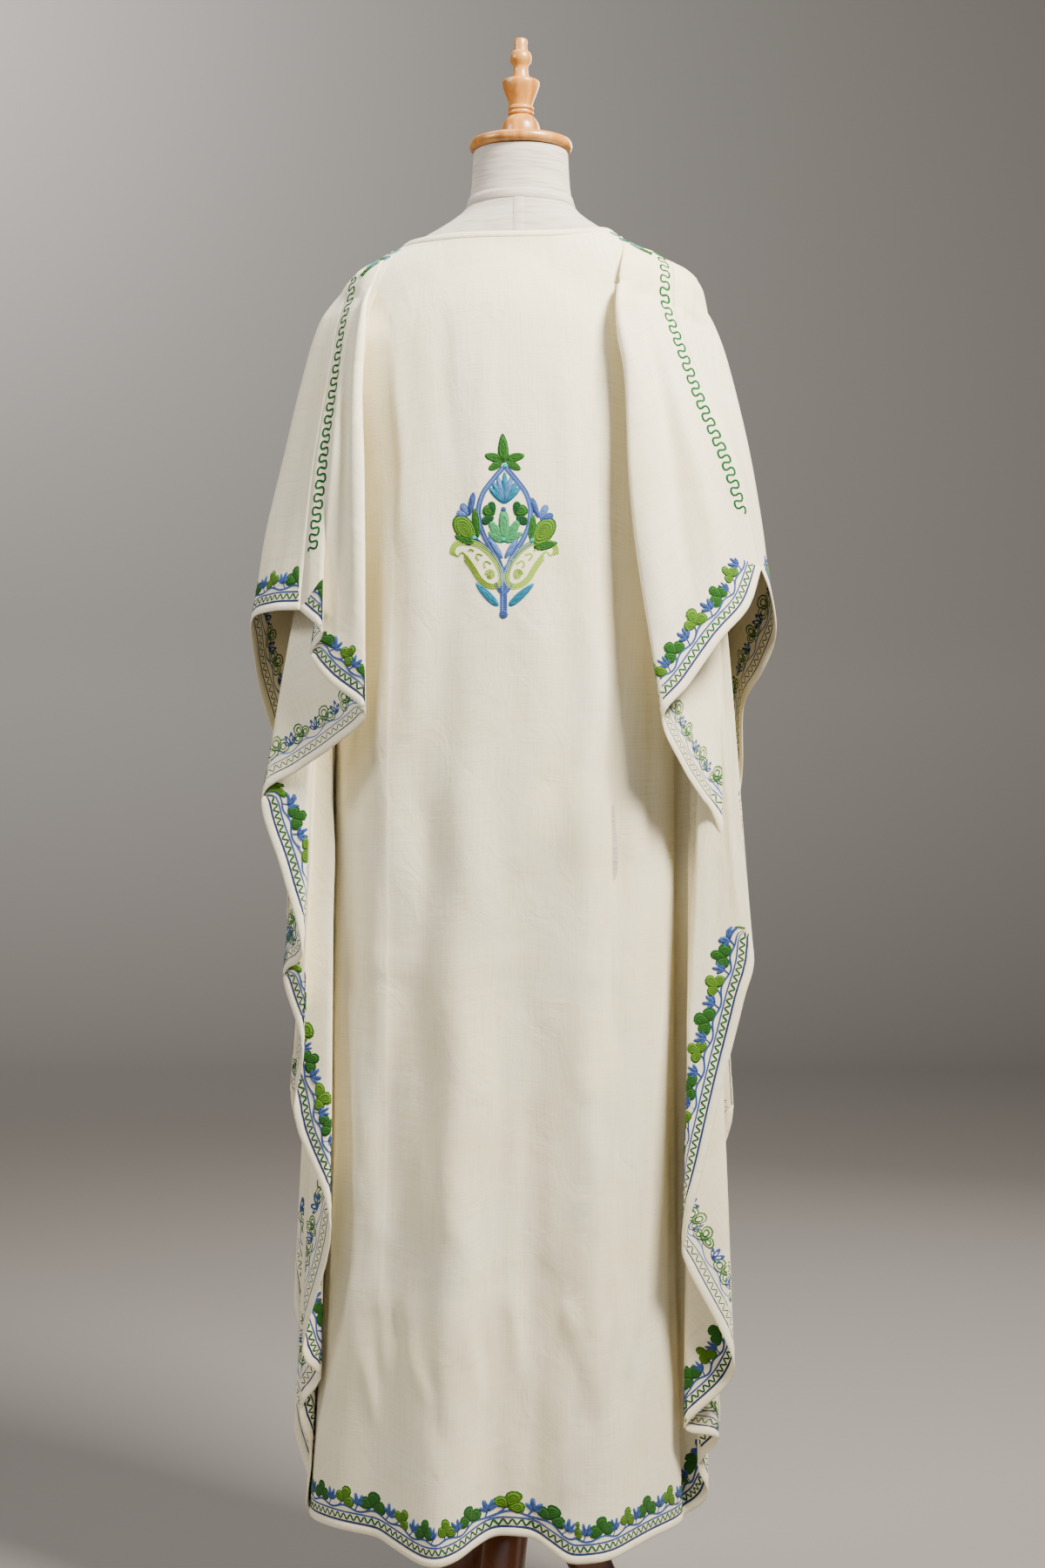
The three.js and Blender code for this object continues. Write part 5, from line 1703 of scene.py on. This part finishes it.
def paper_material(settings):
    """Matt grey backdrop paper that changes softly from the floor's tone to the wall's; the darker
    floor is painted shade.
    """
    material, tree, shader = new_material("Matt grey backdrop paper", 0.95)
    place = node(tree, "ShaderNodeTexCoord").outputs["Object"]
    height = node(tree, "ShaderNodeSeparateXYZ", {}, {"Vector": place}).outputs["Z"]
    # Painted shade: the paper grows darker from 1.3 m high down to the floor.
    up = node(tree, "ShaderNodeMapRange", {"From Max": 1.3}, {"Value": height})
    mix = node(tree, "ShaderNodeMix", {6: (*settings.floor, 1), 7: (*settings.backdrop, 1)},
               {0: up.outputs["Result"]}, data_type="RGBA")
    tree.links.new(mix.outputs[2], shader.inputs["Base Color"])
    return material


def backdrop_piece():
    """One sheet of paper: flat under the stand, then swept up into the wall."""
    profile = [(-SWEEP["reach"], 0.0)]
    for i in range(SWEEP["steps"] + 1):
        angle = math.pi / 2 * i / SWEEP["steps"]
        profile.append((SWEEP["start"] + SWEEP["radius"] * math.sin(angle),
                        SWEEP["radius"] * (1 - math.cos(angle))))
    profile.append((profile[-1][0], SWEEP["height"]))
    points = [(x, y, z) for y, z in profile for x in (-SWEEP["reach"], SWEEP["reach"])]
    return mesh_piece("backdrop", points, [(2 * i, 2 * i + 1, 2 * i + 3, 2 * i + 2)
                                           for i in range(len(profile) - 1)])


# Name, place, what it is aimed at, size, power and colour of each lamp.
LIGHTS = [
    ("key", (1.2, -1.15, 2.95), (0.0, 0.0, 2.2), 0.7, 290, "#FFF8EC"),
    ("side", (-2.4, -0.9, 2.6), (0.0, 0.0, 1.8), 0.8, 50, "#FFFDF8"),
    ("fill", (-1.2, -2.6, 2.0), (0.0, 0.0, 1.4), 1.6, 13, "#F6F8FF"),
    ("top", (-0.2, 0.5, 3.3), (0.0, 0.0, 1.2), 1.2, 20, "#FFFFFF"),
    ("far", (1.1, 2.5, 2.3), (0.0, 0.0, 1.4), 1.4, 42, "#FFFDF8"),
    ("wall", (-3.0, 5.0, 4.3), (-1.9, 7.1, 3.5), 1.5, 110, "#FFFFFF"),
]
SKY, SKY_STRENGTH = "#D8DADC", 0.16


class KAFTAN_OT_stage(bpy.types.Operator):
    """Hangs the backdrop paper and sets the lights"""
    bl_idname = "kaftan.stage"
    bl_label = "Stage"

    def execute(self, context):
        sweep = backdrop_piece()
        sweep.data.materials.append(paper_material(context.scene.kaftan_stage))
        for name, place, aim, size, power, colour in LIGHTS:
            light = bpy.data.lights.new(name, "AREA")
            light.shape, light.size, light.energy = "SQUARE", size, power
            light.color = linear(colour)[:3]
            lamp = bpy.data.objects.new(name, light)
            lamp.location = place
            way = Vector(aim) - Vector(place)
            lamp.rotation_euler = way.to_track_quat("-Z", "Y").to_euler()
            context.scene.collection.objects.link(lamp)
        world = context.scene.world or bpy.data.worlds.new("World")
        context.scene.world = world
        world.use_nodes = True
        sky = world.node_tree.nodes["Background"]
        sky.inputs["Color"].default_value = linear(SKY)
        sky.inputs["Strength"].default_value = SKY_STRENGTH
        return {"FINISHED"}


class KAFTAN_PT_panel(bpy.types.Panel):
    bl_label = "Kaftan"
    bl_idname = "KAFTAN_PT_panel"
    bl_space_type = "VIEW_3D"
    bl_region_type = "UI"
    bl_category = "Kaftan"

    def draw(self, context):
        for group in (context.scene.kaftan, context.scene.kaftan_stage):
            for name in group.__annotations__:
                self.layout.prop(group, name)
        for operator in OPERATORS:
            self.layout.operator(operator.bl_idname)


OPERATORS = [KAFTAN_OT_camera, KAFTAN_OT_panels, KAFTAN_OT_hems, KAFTAN_OT_border,
             KAFTAN_OT_motif, KAFTAN_OT_sheets, KAFTAN_OT_form, KAFTAN_OT_turned_wood,
             KAFTAN_OT_stand, KAFTAN_OT_stage]
CLASSES = [KaftanSettings, StageSettings, *OPERATORS, KAFTAN_PT_panel]


def register():
    for cls in CLASSES:
        bpy.utils.register_class(cls)
    bpy.types.Scene.kaftan = PointerProperty(type=KaftanSettings)
    bpy.types.Scene.kaftan_stage = PointerProperty(type=StageSettings)


def unregister():
    del bpy.types.Scene.kaftan_stage
    del bpy.types.Scene.kaftan
    for cls in reversed(CLASSES):
        bpy.utils.unregister_class(cls)


def main():
    register()
    bpy.ops.kaftan.camera()
    bpy.ops.kaftan.panels()
    bpy.ops.kaftan.hems()
    bpy.ops.kaftan.border()
    bpy.ops.kaftan.motif()
    bpy.ops.kaftan.sheets()
    bpy.ops.kaftan.form()
    bpy.ops.kaftan.turned_wood()
    bpy.ops.kaftan.stand()
    bpy.ops.kaftan.stage()


if __name__ == "__main__":
    main()
